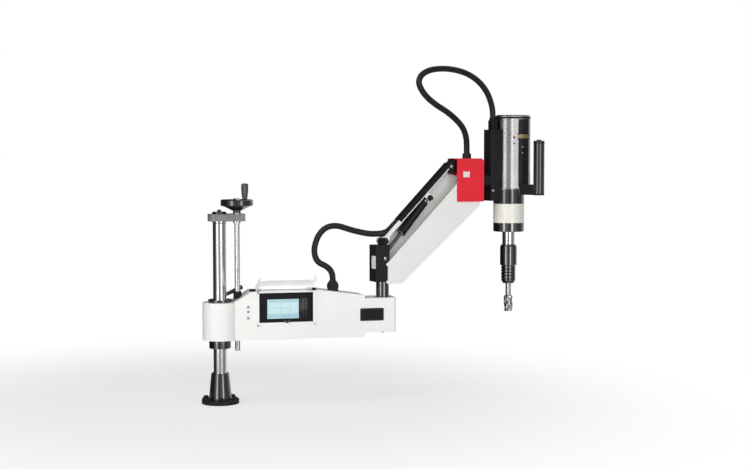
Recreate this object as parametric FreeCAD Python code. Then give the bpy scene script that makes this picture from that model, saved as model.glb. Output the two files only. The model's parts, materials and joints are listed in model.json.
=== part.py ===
import FreeCAD, Part
import math
import os

# Arm tapping machine, in millimetres. The origin is the centre of the base flange's underside,
# +Z is up and the beam runs along +X. The arm is drawn in its own straight frame, with its
# heading along +X from the arm post's axis, and is then turned about the post to its heading.

# Fits shared by every piece
RUN = 0.05
GAP = 0.3
OVERRUN = 5.0
HEX_SIDES = 6

# Base flange, socket and column
FLANGE_D = 142.0
FLANGE_T = 16.0
FLANGE_CHAMFER = 2.0
BASE_HOLE_D = 11.0
BASE_PCD = 118.0
BASE_HOLE_COUNT = 6
SOCKET_FOOT_D = 92.0
SOCKET_FOOT_H = 5.0
SOCKET_LOW_D = 86.0
SOCKET_TOP_D = 68.0
SOCKET_TOP_Z = 116.0
SOCKET_EDGE = 3.0
COLUMN_D = 50.0
SPIGOT_D = 26.0

# Top bracket
BRACKET_LOW_Z = 691.6
BRACKET_T = 26.6
BRACKET_LEFT_X = -43.0
BRACKET_RIGHT_X = 94.0
BRACKET_W = 75.0
BRACKET_ROUND = 5.0
BRACKET_END_ROUND = 28.0
SWING_BUSH_D = 36.0
SWING_FLANGE_D = 54.0
SWING_FLANGE_T = 9.0
SWING_FLANGE_CHAMFER = 4.0
CAP_D = 54.0
CAP_T = 8.0
CAP_CHAMFER = 1.5
CAP_BOLT_D = 8.0
CAP_BOLT_AF = 13.0
CAP_BOLT_HEAD_T = 8.0
CAP_BOLT_LENGTH = 45.0

# Lead screw, handwheel and crank grip
SCREW_X = 67.0
SCREW_D = 20.0
SCREW_LOW_Z = 198.0
SCREW_JOURNAL_D = 14.0
SCREW_CHAMFER = 1.5
SCREW_BUSH_D = 22.0
SCREW_BUSH_FLANGE_D = 30.0
SCREW_BUSH_FLANGE_T = 8.0
WASHER_D = 30.0
WASHER_T = 3.8
WHEEL_D = 123.0
WHEEL_TOP_Z = 772.0
WHEEL_RIM_T = 24.0
WHEEL_RIM_W = 24.0
WHEEL_CONE_LOW_D = 38.0
WHEEL_CONE_LOW_Z = 731.0
WHEEL_CONE_TOP_D = 104.0
WHEEL_NECK_D = 30.0
WHEEL_WEB_T = 9.0
WHEEL_BOSS_D = 34.0
WHEEL_BOSS_DROP = 6.0
WHEEL_EDGE = 3.0
GRIP_RADIUS = 46.7
GRIP_ANGLE = -59.0
GRIP_LOW_D = 22.0
GRIP_TOP_D = 27.0
GRIP_LENGTH = 61.5
GRIP_EDGE = 3.0
AXLE_D = 8.0
AXLE_HEAD_D = 13.0
AXLE_HEAD_T = 5.0
AXLE_ROOT = 14.0

# Hub and what slides on the column
HUB_D = 118.0
HUB_FRONT_D = 132.0
HUB_LOW_Z = 243.0
HUB_TOP_Z = 385.0
HUB_EDGE = 1.5
GUIDE_D = 60.0
GUIDE_LENGTH = 42.0
LOW_COLLAR_D = 82.0
LOW_COLLAR_T = 33.0
LOW_COLLAR_EDGE = 1.5
CLAMP_COLLAR_D = 88.0
CLAMP_COLLAR_T = 10.0
CLAMP_BOSS_W = 24.0
CLAMP_BOSS_OUT_Y = 44.0
CLAMP_BOSS_IN_Y = 30.0
CLAMP_AXIS_Z = 394.0
CLAMP_STUD_D = 10.0
LEVER_HUB_D = 16.0
LEVER_HUB_W = 16.0
LEVER_LENGTH = 104.0
LEVER_ANGLE = 24.0
LEVER_ROOT_D = 12.0
LEVER_END_D = 18.0
LEVER_CAP_T = 3.0

# Beam housing
BOX_LEFT_X = 50.0
BOX_LENGTH = 502.0
BOX_HUB_DROP = 1.0
BOX_H = 185.0
BOX_RIGHT_H = 160.0
BOX_LEFT_H = 150.0
BOX_LEDGE = 10.0
BOX_SLOPE = 54.0
BOX_TOP_L = 261.0
BOX_HALF_W = 50.0
BOX_WALL = 3.0
BOX_CORNER = 4.0
REAR_COVER_T = 3.0
SCREW_HOLE_D = 26.0
SPINE_W = 80.0
SPINE_H = 36.0
SPINE_WALL = 4.0
SPINE_START_X = 90.0
SPINE_POST_T = 8.0
SPINE_POST_W = 72.0
NUT_PLATE_T = 8.0
NUT_PLATE_Z = 372.0
GUSSET_T = 8.0
NUT_BODY_D = 28.0
NUT_FLANGE_D = 44.0
NUT_FLANGE_T = 8.0
NUT_LOW_Z = 338.0
NUT_TOP_Z = 388.0
DRIVE_LEFT_X = 165.0
DRIVE_LENGTH = 170.0
DRIVE_FRONT_Y = -20.0
DRIVE_BACK_Y = 38.0
DRIVE_H = 118.0
DRIVE_EDGE = 3.0
COVER_SCREW_D = 4.0
COVER_SCREW_HEAD_D = 9.0
COVER_SCREW_HEAD_T = 2.2
COVER_SCREW_LENGTH = 9.0
COVER_SCREW_INSET = 12.0
COVER_SCREW_COLUMNS = 3

# Touch screen, its frame and its flap
RECESS_LEFT_X = 142.0
RECESS_RIGHT_X = 349.0
RECESS_LOW_Z = 307.0
RECESS_TOP_Z = 422.0
RECESS_DEPTH = 14.0
TRAY_WALL = 2.5
TRAY_LIP = 1.0
FRAME_LEFT_X = 132.0
FRAME_RIGHT_X = 361.0
FRAME_LOW_Z = 292.5
FRAME_TOP_Z = 426.0
FRAME_T = 2.5
FRAME_ROUND = 3.0
FRAME_SCREW_INSET = 5.0
SCREEN_LEFT_X = 174.0
SCREEN_RIGHT_X = 297.0
SCREEN_LOW_Z = 319.0
SCREEN_TOP_Z = 394.0
SCREEN_T = 6.0
SCREEN_LIFT = 2.0
LATCH_X = 248.0
LATCH_R = 17.0
LATCH_T = 0.8
LATCH_RISE = 2.0
HINGE_Z = 432.0
HINGE_Y = -55.5
HINGE_PIN_D = 4.0
HINGE_KNUCKLE_D = 8.0
HINGE_KNUCKLE_L = 16.0
FLAP_LEFT_X = 129.0
FLAP_RIGHT_X = 341.0
FLAP_LENGTH = 138.0
FLAP_T = 2.0
FLAP_DEPTH = 17.0
FLAP_ROUND = 22.0
FLAP_HINGE_HOLD = 7.0
FLAP_OPEN_ANGLE = 112.0
LAMP_X = 100.5
LAMP_HEIGHTS = (368.0, 350.0, 326.5)
LAMP_D = 11.0
LAMP_RISE = 2.5
LAMP_BODY_D = 8.0
LAMP_BODY_L = 12.0

# Cable gland
GLAND_X = 437.0
GLAND_HOLE_D = 26.0
GLAND_BASE_D = 45.0
GLAND_BASE_T = 5.0
GLAND_NUT_D = 46.0
GLAND_NECK_D = 30.0
GLAND_TOP_Z = 458.0
GLAND_NUT_LOW_Z = 426.0
GLAND_STEM_LOW_Z = 402.0
GLAND_LOCKNUT_D = 40.0
GLAND_LOCKNUT_T = 6.0

# End housing and arm post
END_BEFORE_POST = 83.0
END_AFTER_POST = 42.0
END_STEP_UP = 16.0
END_STEP_DOWN = 12.0
END_ROUND = 8.0
POST_D = 50.0
POST_JOURNAL_D = 44.0
BEARING_D = 68.0
BEARING_T = 14.0
POST_BORE_D = 56.0
POST_WASHER_D = 52.0
POST_WASHER_T = 4.0
POST_BOLT_D = 10.0
POST_BOLT_LENGTH = 40.0
POST_BOLT_HEAD_D = 15.0
POST_BOLT_HEAD_T = 8.0

# Arm: heading, pivots and links
ARM_HEADING = 11.0
LINK_ANGLE = 45.0
LINK_LENGTH = 408.0
PIVOT_A1_H = 0.0
PIVOT_A1_RISE = 14.0
PIVOT_A2_H = 39.0
PIVOT_A2_RISE = 32.0
PIN_D = 16.0
BLOCK_HALF_L = 42.5
BLOCK_HALF_W = 31.0
BLOCK_POST_SHOWN = 60.0
BLOCK_H = 142.0
BLOCK_EDGE = 2.0
BLOCK_BOSS_R = 17.0
BLOCK_POST_DEPTH = 60.0
LUG_HALF_W = 18.3
LUG_HALF_L = 11.0
LUG_R = 12.0
PIN_HEAD_D = 20.0
STRUT_SLOT_HALF_W = 10.5
STRUT_SLOT_BELOW = 18.0
STRUT_SLOT_BACK_H = 15.0
STRUT_SLOT_ROOF_T = 8.0
BLOCK_SHOULDER_H = 16.0
PLATE_IN = 31.8
PLATE_T = 4.0
PLATE_SKIN = 1.0
LOW_LINK_FOOT = ((-31.4, -40.5), (29.0, -40.5), (52.5, -20.0))
LOW_LINK_NOSE = ((72.1, -41.1), (84.5, -28.5), (84.5, -10.5), (70.5, 44.5), (13.5, 87.0))
NEAR_PLATE_RISE = 52.0
FAR_PLATE_PEAK = (-62.2, 104.5)
FAR_PLATE_STEPS = ((21.0, 188.0), (11.0, 143.0), (3.0, 110.0), (-31.4, 78.0))
WEB_T = 4.0
LOBE_R = 7.0
BUSH_D = 24.0
BUSH_FLANGE_D = 34.0
BUSH_FLANGE_T = 3.0
BAR_HALF_GAP = 18.6
BAR_T = 6.0
BAR_DOWN = 1.0
BAR_UP = 14.0
BAR_EYE_D = 27.0
BAR_TIE_T = 10.0
BAR_TIE_UP = 10.0
DUCT_START = 100.0
DUCT_END_GAP = 12.0
DUCT_LOW = 4.0
DUCT_HIGH = 18.5
DUCT_NEAR_W = 27.0
DUCT_FAR_W = 14.5
DUCT_WALL = 2.0
DUCT_EDGE = 2.0
STRUT_TOP_S = 254.6
STRUT_TOP_DROP = 20.2
STRUT_PIN_D = 10.0
STRUT_LUG_R = 11.0
STRUT_PIN_HEAD_D = 17.0
STRUT_PIN_HEAD_T = 6.0
STRUT_LOW_H = -2.0
STRUT_LOW_RISE = 90.0
STRUT_CYL_D = 34.0
STRUT_CYL_LENGTH = 180.0
STRUT_BORE_D = 19.0
STRUT_BORE_STOP = 36.0
STRUT_ROD_D = 14.0
STRUT_ROD_INSIDE = 42.0
STRUT_EYE_W = 18.0
STRUT_EYE_D = 20.0
STRUT_EYE_NECK_D = 16.0
STRUT_EYE_NECK_L = 20.0

# Head: red block, clevis, motor bracket
HEAD_LEFT_GAP = 20.5
HEAD_REACH = 99.5
HEAD_DROP = 15.5
HEAD_RISE = 31.5
HEAD_IN = 36.6
HEAD_WALL = 5.0
HEAD_SKIN = 1.5
HEAD_BACK_T = 10.0
HEAD_CHAMFER = 10.0
HEAD_EDGE = 1.5
HEAD_GLAND_BACK = 56.0
HEAD_GLAND_D = 34.0
HEAD_GLAND_T = 18.0
CLEVIS_LOW_DROP = 26.0
CLEVIS_HIGH_RISE = 31.0
CLEVIS_EYE_D = 32.0
CLEVIS_CHAMFER = 15.0
CLEVIS_HALF_W = 18.3
TILT_RISE = 68.5
TILT_STUD_D = 30.0
TILT_GAP = 0.4
TILT_FLANGE_D = 56.0
TILT_FLANGE_T = 6.0
TILT_STUD_LENGTH = 16.0
MOUNT_SET_OFF = 38.0
MOUNT_BOSS_D = 60.0
MOUNT_HALF_W = 30.0
MOUNT_DROP = 83.0
MOUNT_RISE = 202.0
MOUNT_EDGE = 2.0
PLUG_SET_BACK = 11.0
PLUG_LENGTH = 26.0
PLUG_HALF_W = 16.0
PLUG_H = 37.0
PLUG_EDGE = 3.0
PLUG_GLAND_IN = 13.0
PLUG_GLAND_D = 28.0
PLUG_GLAND_T = 10.0

# Motor, gearbox and handle, stacked from the motor's top downwards
SPINDLE_REACH = 138.0
MOTOR_R = 54.5
MOTOR_POD_H = 32.0
MOTOR_POD_N = -7.0
MOTOR_RISE = 261.0
MOTOR_LENGTH = 295.0
MOTOR_EDGE = 8.0
MOTOR_CAVITY_R = 40.0
MOTOR_CAVITY_LENGTH = 190.0
MOTOR_LID_T = 60.0
MOTOR_COLLAR_D = 123.0
MOTOR_COLLAR_L = 61.5
ROTOR_D = 72.0
ROTOR_LENGTH = 120.0
ROTOR_END_SPACE = 40.0
ROTOR_SHAFT_D = 19.0
ROTOR_SHAFT_ABOVE = 60.0
ROTOR_SHAFT_BELOW = 120.0
GEARBOX_D = 124.0
GEARBOX_L = 77.0
GEARBOX_BORE_D = 60.0
SEAL_RING_D = 124.0
SEAL_RING_L = 35.5
SEAL_RING_EDGE = 2.0
HANDLE_OUT_H = 65.3
HANDLE_OUT_N = 123.6
HANDLE_D = 44.0
HANDLE_DROP = 26.0
HANDLE_LENGTH = 217.0
HANDLE_EDGE = 3.0
HANDLE_BAR_DROP = 25.0
HANDLE_BAR_H = 42.0
HANDLE_BAR_W = 34.0
BUTTON_D = 20.0
BUTTON_RISE = 4.0
BUTTON_SEAT = 9.0
BUTTON_EDGE = 1.0

# Spindle, quick-change chuck and tap
SPINDLE_D = 50.0
SPINDLE_NECK_L = 52.0
SPINDLE_BORE_D = 24.0
SPINDLE_BORE_L = 124.0
SLEEVE_D = 67.5
SLEEVE_L = 83.5
SLEEVE_TOP_GAP = 2.0
SLEEVE_EDGE = 4.0
CHUCK_CORE_D = 48.0
CHUCK_CORE_L = 88.0
CHUCK_BORE_D = 31.0
CHUCK_BORE_L = 57.0
ADAPTER_D = 58.0
ADAPTER_L = 69.7
ADAPTER_TAPER_D = 44.0
ADAPTER_TAPER_H = 12.0
ADAPTER_GROOVE_DEPTH = 2.5
ADAPTER_GROOVE_W = 4.0
ADAPTER_GROOVE_COUNT = 4
ADAPTER_SHANK_L = 52.3
TAP_SHANK_D = 22.0
TAP_SOCKET_L = 34.0
TAP_SHANK_SHOWN = 48.0
TAP_D = 34.0
TAP_LENGTH = 66.0
TAP_NECK_H = 8.0
TAP_LEAD_H = 14.0
TAP_LEAD_D = 30.0
TAP_FLUTE_D = 14.0
TAP_FLUTE_COUNT = 4

# Hoses: one outer diameter, and each route's points
HOSE_D = 23.5
LOWER_HOSE_POINTS = (
    (437, 0, 458.3), (437, 0, 480), (428, 13, 501), (411, 27, 514), (393, 40, 522), (382, 52, 537),
    (378, 62, 557), (379, 69, 579), (387, 72, 608), (401, 70, 636), (421, 64, 656), (444, 56, 665),
    (470, 48, 665), (498, 38, 656), (528, 26, 646), (556, 15, 640))
HOSE_TAIL_POINTS = (
    (556, 15, 640), (581.2, 5.1, 634.6), (610, -1, 634.5), (640, -2, 637), (664.9, 5.8, 648.4),
    (698.3, 12.3, 682.5))
UPPER_HOSE_POINTS = (
    (999, 71, 944.3), (999, 71, 974), (994, 61, 1010), (976, 48, 1048), (940, 29, 1081),
    (893, 5, 1111), (847, -16, 1133), (802, -35, 1163), (774, -46, 1196), (765, -48, 1223),
    (779, -44, 1250), (815, -32, 1268), (861, -15, 1275), (911, 3, 1275), (967, 24, 1266),
    (1013, 42, 1249), (1054, 59, 1222), (1085, 74, 1188), (1104, 86, 1152), (1115, 93, 1118),
    (1115, 93, 1088.3))
HOSE_BEND_SHARE = 0.45

# Places worked out from the sizes above
COLUMN_R = COLUMN_D / 2
COLUMN_TOP_Z = BRACKET_LOW_Z - SWING_FLANGE_T
BRACKET_TOP_Z = BRACKET_LOW_Z + BRACKET_T
SPIGOT_TOP_Z = BRACKET_TOP_Z + GAP
CAP_TOP_Z = SPIGOT_TOP_Z + CAP_T
SCREW_TOP_Z = BRACKET_LOW_Z - SCREW_BUSH_FLANGE_T
WHEEL_LOW_Z = BRACKET_TOP_Z + WASHER_T
WHEEL_BOSS_TOP_Z = WHEEL_TOP_Z - WHEEL_BOSS_DROP
GRIP_LOW_Z = WHEEL_TOP_Z + GAP
GRIP_TOP_Z = GRIP_LOW_Z + GRIP_LENGTH
GRIP_X = SCREW_X + GRIP_RADIUS * math.cos(math.radians(GRIP_ANGLE))
GRIP_Y = GRIP_RADIUS * math.sin(math.radians(GRIP_ANGLE))
LEVER_HUB_IN_Y = CLAMP_BOSS_OUT_Y + GAP
BOX_RIGHT_X = BOX_LEFT_X + BOX_LENGTH
BOX_LOW_Z = HUB_LOW_Z - BOX_HUB_DROP
BOX_TOP_Z = BOX_LOW_Z + BOX_H
BOX_RIGHT_TOP_Z = BOX_LOW_Z + BOX_RIGHT_H
BOX_LEFT_TOP_Z = BOX_LOW_Z + BOX_LEFT_H
BOX_SLOPE_LOW_X = BOX_LEFT_X + BOX_LEDGE
BOX_SLOPE_TOP_X = BOX_SLOPE_LOW_X + BOX_SLOPE
BOX_TOP_END_X = BOX_SLOPE_TOP_X + BOX_TOP_L
SPINE_TOP_Z = BOX_LOW_Z + BOX_WALL + SPINE_H
END_LEFT_X = BOX_RIGHT_X
POST_X = END_LEFT_X + END_BEFORE_POST
END_RIGHT_X = POST_X + END_AFTER_POST
END_LOW_Z = BOX_LOW_Z + END_STEP_UP
END_TOP_Z = BOX_RIGHT_TOP_Z - END_STEP_DOWN
BLOCK_LOW_Z = END_TOP_Z + BLOCK_POST_SHOWN
BLOCK_TOP_Z = BLOCK_LOW_Z + BLOCK_H
PIVOT_A1_Z = BLOCK_TOP_Z + PIVOT_A1_RISE
PIVOT_A2_Z = BLOCK_LOW_Z + PIVOT_A2_RISE
STRUT_LOW_Z = BLOCK_LOW_Z + STRUT_LOW_RISE
PIVOT_B1_H = PIVOT_A1_H + LINK_LENGTH * math.cos(math.radians(LINK_ANGLE))
PIVOT_B1_Z = PIVOT_A1_Z + LINK_LENGTH * math.sin(math.radians(LINK_ANGLE))
PIVOT_B2_H = PIVOT_A2_H + LINK_LENGTH * math.cos(math.radians(LINK_ANGLE))
PIVOT_B2_Z = PIVOT_A2_Z + LINK_LENGTH * math.sin(math.radians(LINK_ANGLE))
PLATE_OUT = PLATE_IN + PLATE_T
DUCT_END = LINK_LENGTH - DUCT_END_GAP
HEAD_LEFT_H = PIVOT_B2_H - HEAD_LEFT_GAP
HEAD_RIGHT_H = PIVOT_B2_H + HEAD_REACH
HEAD_LOW_Z = PIVOT_B2_Z - HEAD_DROP
HEAD_TOP_Z = PIVOT_B1_Z + HEAD_RISE
HEAD_OUT = HEAD_IN + HEAD_WALL
HEAD_GLAND_H = HEAD_RIGHT_H - HEAD_GLAND_BACK
HEAD_GLAND_TOP_Z = HEAD_TOP_Z + HEAD_GLAND_T
TILT_Z = PIVOT_B2_Z + TILT_RISE
MOUNT_LEFT_H = HEAD_RIGHT_H + MOUNT_SET_OFF
MOUNT_LOW_Z = TILT_Z - MOUNT_DROP
MOUNT_TOP_Z = TILT_Z + MOUNT_RISE
PLUG_LEFT_H = MOUNT_LEFT_H + PLUG_SET_BACK
PLUG_RIGHT_H = PLUG_LEFT_H + PLUG_LENGTH
PLUG_TOP_Z = MOUNT_TOP_Z + PLUG_H
PLUG_GLAND_H = PLUG_RIGHT_H - PLUG_GLAND_IN
PLUG_GLAND_TOP_Z = PLUG_TOP_Z + PLUG_GLAND_T
SPINDLE_H = HEAD_RIGHT_H + SPINDLE_REACH
MOTOR_TOP_Z = TILT_Z + MOTOR_RISE
MOTOR_LOW_Z = MOTOR_TOP_Z - MOTOR_LENGTH
MOTOR_CAVITY_TOP_Z = MOTOR_TOP_Z - MOTOR_LID_T
MOTOR_CAVITY_LOW_Z = MOTOR_CAVITY_TOP_Z - MOTOR_CAVITY_LENGTH
MOTOR_COLLAR_LOW_Z = MOTOR_LOW_Z - MOTOR_COLLAR_L
ROTOR_TOP_Z = MOTOR_CAVITY_TOP_Z - ROTOR_END_SPACE
ROTOR_LOW_Z = ROTOR_TOP_Z - ROTOR_LENGTH
ROTOR_SHAFT_TOP_Z = ROTOR_TOP_Z + ROTOR_SHAFT_ABOVE
ROTOR_SHAFT_LOW_Z = ROTOR_LOW_Z - ROTOR_SHAFT_BELOW
GEARBOX_LOW_Z = MOTOR_COLLAR_LOW_Z - GEARBOX_L
SEAL_RING_LOW_Z = GEARBOX_LOW_Z - SEAL_RING_L
HANDLE_H = SPINDLE_H + HANDLE_OUT_H
HANDLE_N = -HANDLE_OUT_N
HANDLE_LOW_Z = MOTOR_LOW_Z - HANDLE_DROP
HANDLE_TOP_Z = HANDLE_LOW_Z + HANDLE_LENGTH
HANDLE_BAR_LOW_Z = MOTOR_LOW_Z - HANDLE_BAR_DROP
HANDLE_BAR_TOP_Z = HANDLE_BAR_LOW_Z + HANDLE_BAR_H
SPINDLE_NECK_LOW_Z = SEAL_RING_LOW_Z - SPINDLE_NECK_L
SPINDLE_TOP_Z = MOTOR_COLLAR_LOW_Z
SPINDLE_BORE_DEPTH_Z = SPINDLE_NECK_LOW_Z + SPINDLE_BORE_L
SLEEVE_TOP_Z = SPINDLE_NECK_LOW_Z - SLEEVE_TOP_GAP
SLEEVE_LOW_Z = SLEEVE_TOP_Z - SLEEVE_L
CHUCK_CORE_LOW_Z = SPINDLE_NECK_LOW_Z - CHUCK_CORE_L
CHUCK_BORE_TOP_Z = CHUCK_CORE_LOW_Z + CHUCK_BORE_L
ADAPTER_TOP_Z = CHUCK_CORE_LOW_Z - GAP
ADAPTER_LOW_Z = ADAPTER_TOP_Z - ADAPTER_L
ADAPTER_SHANK_TOP_Z = ADAPTER_TOP_Z + ADAPTER_SHANK_L
TAP_SOCKET_TOP_Z = ADAPTER_LOW_Z + TAP_SOCKET_L
TAP_TOP_Z = ADAPTER_LOW_Z - TAP_SHANK_SHOWN
TAP_LOW_Z = TAP_TOP_Z - TAP_LENGTH


def at(x, y, z):
    return FreeCAD.Vector(x, y, z)


def post(diameter, low, high, x=0, y=0):
    return Part.makeCylinder(diameter / 2, high - low, at(x, y, low))


def sleeve(outer, bore, low, high, x=0, y=0):
    hole = post(bore, low - OVERRUN, high + OVERRUN, x, y)
    return post(outer, low, high, x, y).cut(hole)


def cross_post(diameter, x, z, low_y, high_y):
    return Part.makeCylinder(diameter / 2, high_y - low_y, at(x, low_y, z), at(0, 1, 0))


def brick(low, high):
    return Part.makeBox(high[0] - low[0], high[1] - low[1], high[2] - low[2], at(*low))


def panel(outline, low_y, high_y):
    points = [at(x, low_y, z) for x, z in outline]
    face = Part.Face(Part.makePolygon(points + points[:1]))
    return face.extrude(at(0, high_y - low_y, 0))


def turned(profile, x=0, y=0):
    points = [at(x + radius, y, z) for radius, z in profile]
    face = Part.Face(Part.makePolygon(points + points[:1]))
    return face.revolve(at(x, y, 0), at(0, 0, 1), 360)


def hexagon(across_flats, low, high, x=0, y=0):
    radius = across_flats / 2 / math.cos(math.pi / HEX_SIDES)
    points = []
    for step in range(HEX_SIDES):
        angle = math.radians(360 / HEX_SIDES * step)
        points.append(at(x + radius * math.cos(angle), y + radius * math.sin(angle), low))
    return Part.Face(Part.makePolygon(points + points[:1])).extrude(at(0, 0, high - low))


def upright(edge):
    low = edge.BoundBox
    return low.XLength < RUN and low.YLength < RUN and low.ZLength > RUN


def crossing(edge):
    low = edge.BoundBox
    return low.XLength < RUN and low.ZLength < RUN and low.YLength > RUN


def rounded(shape, radius, wanted):
    edges = [edge for edge in shape.Edges if wanted(edge)]
    return shape.makeFillet(radius, edges)


def circles_at(height, radius):
    def test(edge):
        box = edge.BoundBox
        flat = box.ZLength < RUN and abs(box.ZMin - height) < RUN
        return flat and abs(box.XLength - 2 * radius) < RUN
    return test


def group(solids):
    return Part.makeCompound(solids)


def along_link(start_h, start_z, distance, rise=0):
    angle = math.radians(LINK_ANGLE)
    h = start_h + distance * math.cos(angle) - rise * math.sin(angle)
    z = start_z + distance * math.sin(angle) + rise * math.cos(angle)
    return h, z


def head_up(shape):
    placed = shape.copy()
    placed.rotate(at(0, 0, 0), at(0, 0, 1), ARM_HEADING)
    placed.translate(at(POST_X, 0, 0))
    return placed


def save(name, shape):
    shape.exportStep("parts/" + name + ".step")


# Stand
def base_flange():
    plate = post(FLANGE_D, 0, FLANGE_T)
    plate = plate.makeChamfer(FLANGE_CHAMFER, [e for e in plate.Edges
                                               if circles_at(FLANGE_T, FLANGE_D / 2)(e)])
    plate = plate.cut(post(COLUMN_D, -OVERRUN, FLANGE_T + OVERRUN))
    for step in range(BASE_HOLE_COUNT):
        angle = math.radians(360 / BASE_HOLE_COUNT * (step + 0.5))
        x = BASE_PCD / 2 * math.cos(angle)
        y = BASE_PCD / 2 * math.sin(angle)
        plate = plate.cut(post(BASE_HOLE_D, -OVERRUN, FLANGE_T + OVERRUN, x, y))
    return plate


def column_socket():
    foot_z = FLANGE_T + SOCKET_FOOT_H
    body = turned([(COLUMN_R, FLANGE_T), (SOCKET_FOOT_D / 2, FLANGE_T), (SOCKET_FOOT_D / 2, foot_z),
                   (SOCKET_LOW_D / 2, foot_z), (SOCKET_TOP_D / 2, SOCKET_TOP_Z - SOCKET_EDGE),
                   (SOCKET_TOP_D / 2 - SOCKET_EDGE, SOCKET_TOP_Z), (COLUMN_R, SOCKET_TOP_Z)])
    return body


def column():
    bar = post(COLUMN_D, 0, COLUMN_TOP_Z)
    bar = bar.fuse(post(SPIGOT_D, COLUMN_TOP_Z, SPIGOT_TOP_Z)).removeSplitter()
    return bar.cut(post(CAP_BOLT_D, CAP_TOP_Z - CAP_BOLT_LENGTH, CAP_TOP_Z))


def bearing_cap():
    cap = post(CAP_D, SPIGOT_TOP_Z, CAP_TOP_Z)
    cap = cap.makeChamfer(CAP_CHAMFER, [e for e in cap.Edges if circles_at(CAP_TOP_Z, CAP_D / 2)(e)])
    return cap.cut(post(CAP_BOLT_D, SPIGOT_TOP_Z - OVERRUN, CAP_TOP_Z + OVERRUN))


def cap_bolt():
    shank = post(CAP_BOLT_D, CAP_TOP_Z - CAP_BOLT_LENGTH, CAP_TOP_Z)
    return shank.fuse(hexagon(CAP_BOLT_AF, CAP_TOP_Z, CAP_TOP_Z + CAP_BOLT_HEAD_T))


# Top bracket
def top_bracket():
    low = (BRACKET_LEFT_X, -BRACKET_W / 2, BRACKET_LOW_Z)
    bar = brick(low, (BRACKET_RIGHT_X, BRACKET_W / 2, BRACKET_TOP_Z))
    bar = rounded(bar, BRACKET_ROUND, lambda edge: upright(edge) and edge.BoundBox.XMin > 0)
    bar = rounded(bar, BRACKET_END_ROUND, lambda edge: upright(edge) and edge.BoundBox.XMax < 0)
    bar = bar.cut(post(SWING_BUSH_D, BRACKET_LOW_Z - OVERRUN, BRACKET_TOP_Z + OVERRUN))
    return bar.cut(post(SCREW_BUSH_D, BRACKET_LOW_Z - OVERRUN, BRACKET_TOP_Z + OVERRUN, SCREW_X))


def bracket_bushes():
    swing_bore = SPIGOT_D + 2 * RUN
    swing = turned([(swing_bore / 2, COLUMN_TOP_Z),
                    (SWING_FLANGE_D / 2 - SWING_FLANGE_CHAMFER, COLUMN_TOP_Z),
                    (SWING_FLANGE_D / 2, COLUMN_TOP_Z + SWING_FLANGE_CHAMFER),
                    (SWING_FLANGE_D / 2, BRACKET_LOW_Z), (SWING_BUSH_D / 2, BRACKET_LOW_Z),
                    (SWING_BUSH_D / 2, BRACKET_TOP_Z), (swing_bore / 2, BRACKET_TOP_Z)])
    bore = SCREW_JOURNAL_D + 2 * RUN
    screw = turned([(bore / 2, SCREW_TOP_Z), (SCREW_BUSH_FLANGE_D / 2, SCREW_TOP_Z),
                    (SCREW_BUSH_FLANGE_D / 2, BRACKET_LOW_Z), (SCREW_BUSH_D / 2, BRACKET_LOW_Z),
                    (SCREW_BUSH_D / 2, BRACKET_TOP_Z), (bore / 2, BRACKET_TOP_Z)], SCREW_X)
    washer = sleeve(WASHER_D, bore, BRACKET_TOP_Z, WHEEL_LOW_Z, SCREW_X)
    return group([swing, screw, washer])


# Lead screw and handwheel
def lead_screw():
    thread_r = SCREW_D / 2
    journal_r = SCREW_JOURNAL_D / 2
    return turned([(0, SCREW_LOW_Z), (thread_r - SCREW_CHAMFER, SCREW_LOW_Z),
                   (thread_r, SCREW_LOW_Z + SCREW_CHAMFER), (thread_r, SCREW_TOP_Z),
                   (journal_r, SCREW_TOP_Z), (journal_r, WHEEL_BOSS_TOP_Z + SCREW_CHAMFER),
                   (journal_r - SCREW_CHAMFER, WHEEL_BOSS_TOP_Z + 2 * SCREW_CHAMFER),
                   (0, WHEEL_BOSS_TOP_Z + 2 * SCREW_CHAMFER)], SCREW_X)


def handwheel():
    rim_r = WHEEL_D / 2
    rim_in = rim_r - WHEEL_RIM_W
    rim_low = WHEEL_TOP_Z - WHEEL_RIM_T
    body = turned([(SCREW_JOURNAL_D / 2, WHEEL_LOW_Z), (WHEEL_NECK_D / 2, WHEEL_LOW_Z),
                   (WHEEL_NECK_D / 2, WHEEL_CONE_LOW_Z), (WHEEL_CONE_LOW_D / 2, WHEEL_CONE_LOW_Z),
                   (WHEEL_CONE_TOP_D / 2, rim_low), (rim_r - WHEEL_EDGE, rim_low),
                   (rim_r, rim_low + WHEEL_EDGE), (rim_r, WHEEL_TOP_Z - WHEEL_EDGE),
                   (rim_r - WHEEL_EDGE, WHEEL_TOP_Z), (rim_in, WHEEL_TOP_Z),
                   (rim_in, rim_low + WHEEL_WEB_T), (WHEEL_BOSS_D / 2, WHEEL_CONE_LOW_Z + WHEEL_WEB_T),
                   (WHEEL_BOSS_D / 2, WHEEL_BOSS_TOP_Z), (SCREW_JOURNAL_D / 2, WHEEL_BOSS_TOP_Z)],
                  SCREW_X)
    return body.cut(post(AXLE_D, WHEEL_TOP_Z - AXLE_ROOT, WHEEL_TOP_Z + OVERRUN, GRIP_X, GRIP_Y))


def grip_axle():
    head_low = GRIP_TOP_Z - AXLE_HEAD_T
    pin = post(AXLE_D, WHEEL_TOP_Z - AXLE_ROOT, head_low, GRIP_X, GRIP_Y)
    return pin.fuse(post(AXLE_HEAD_D, head_low, GRIP_TOP_Z, GRIP_X, GRIP_Y)).removeSplitter()


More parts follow.
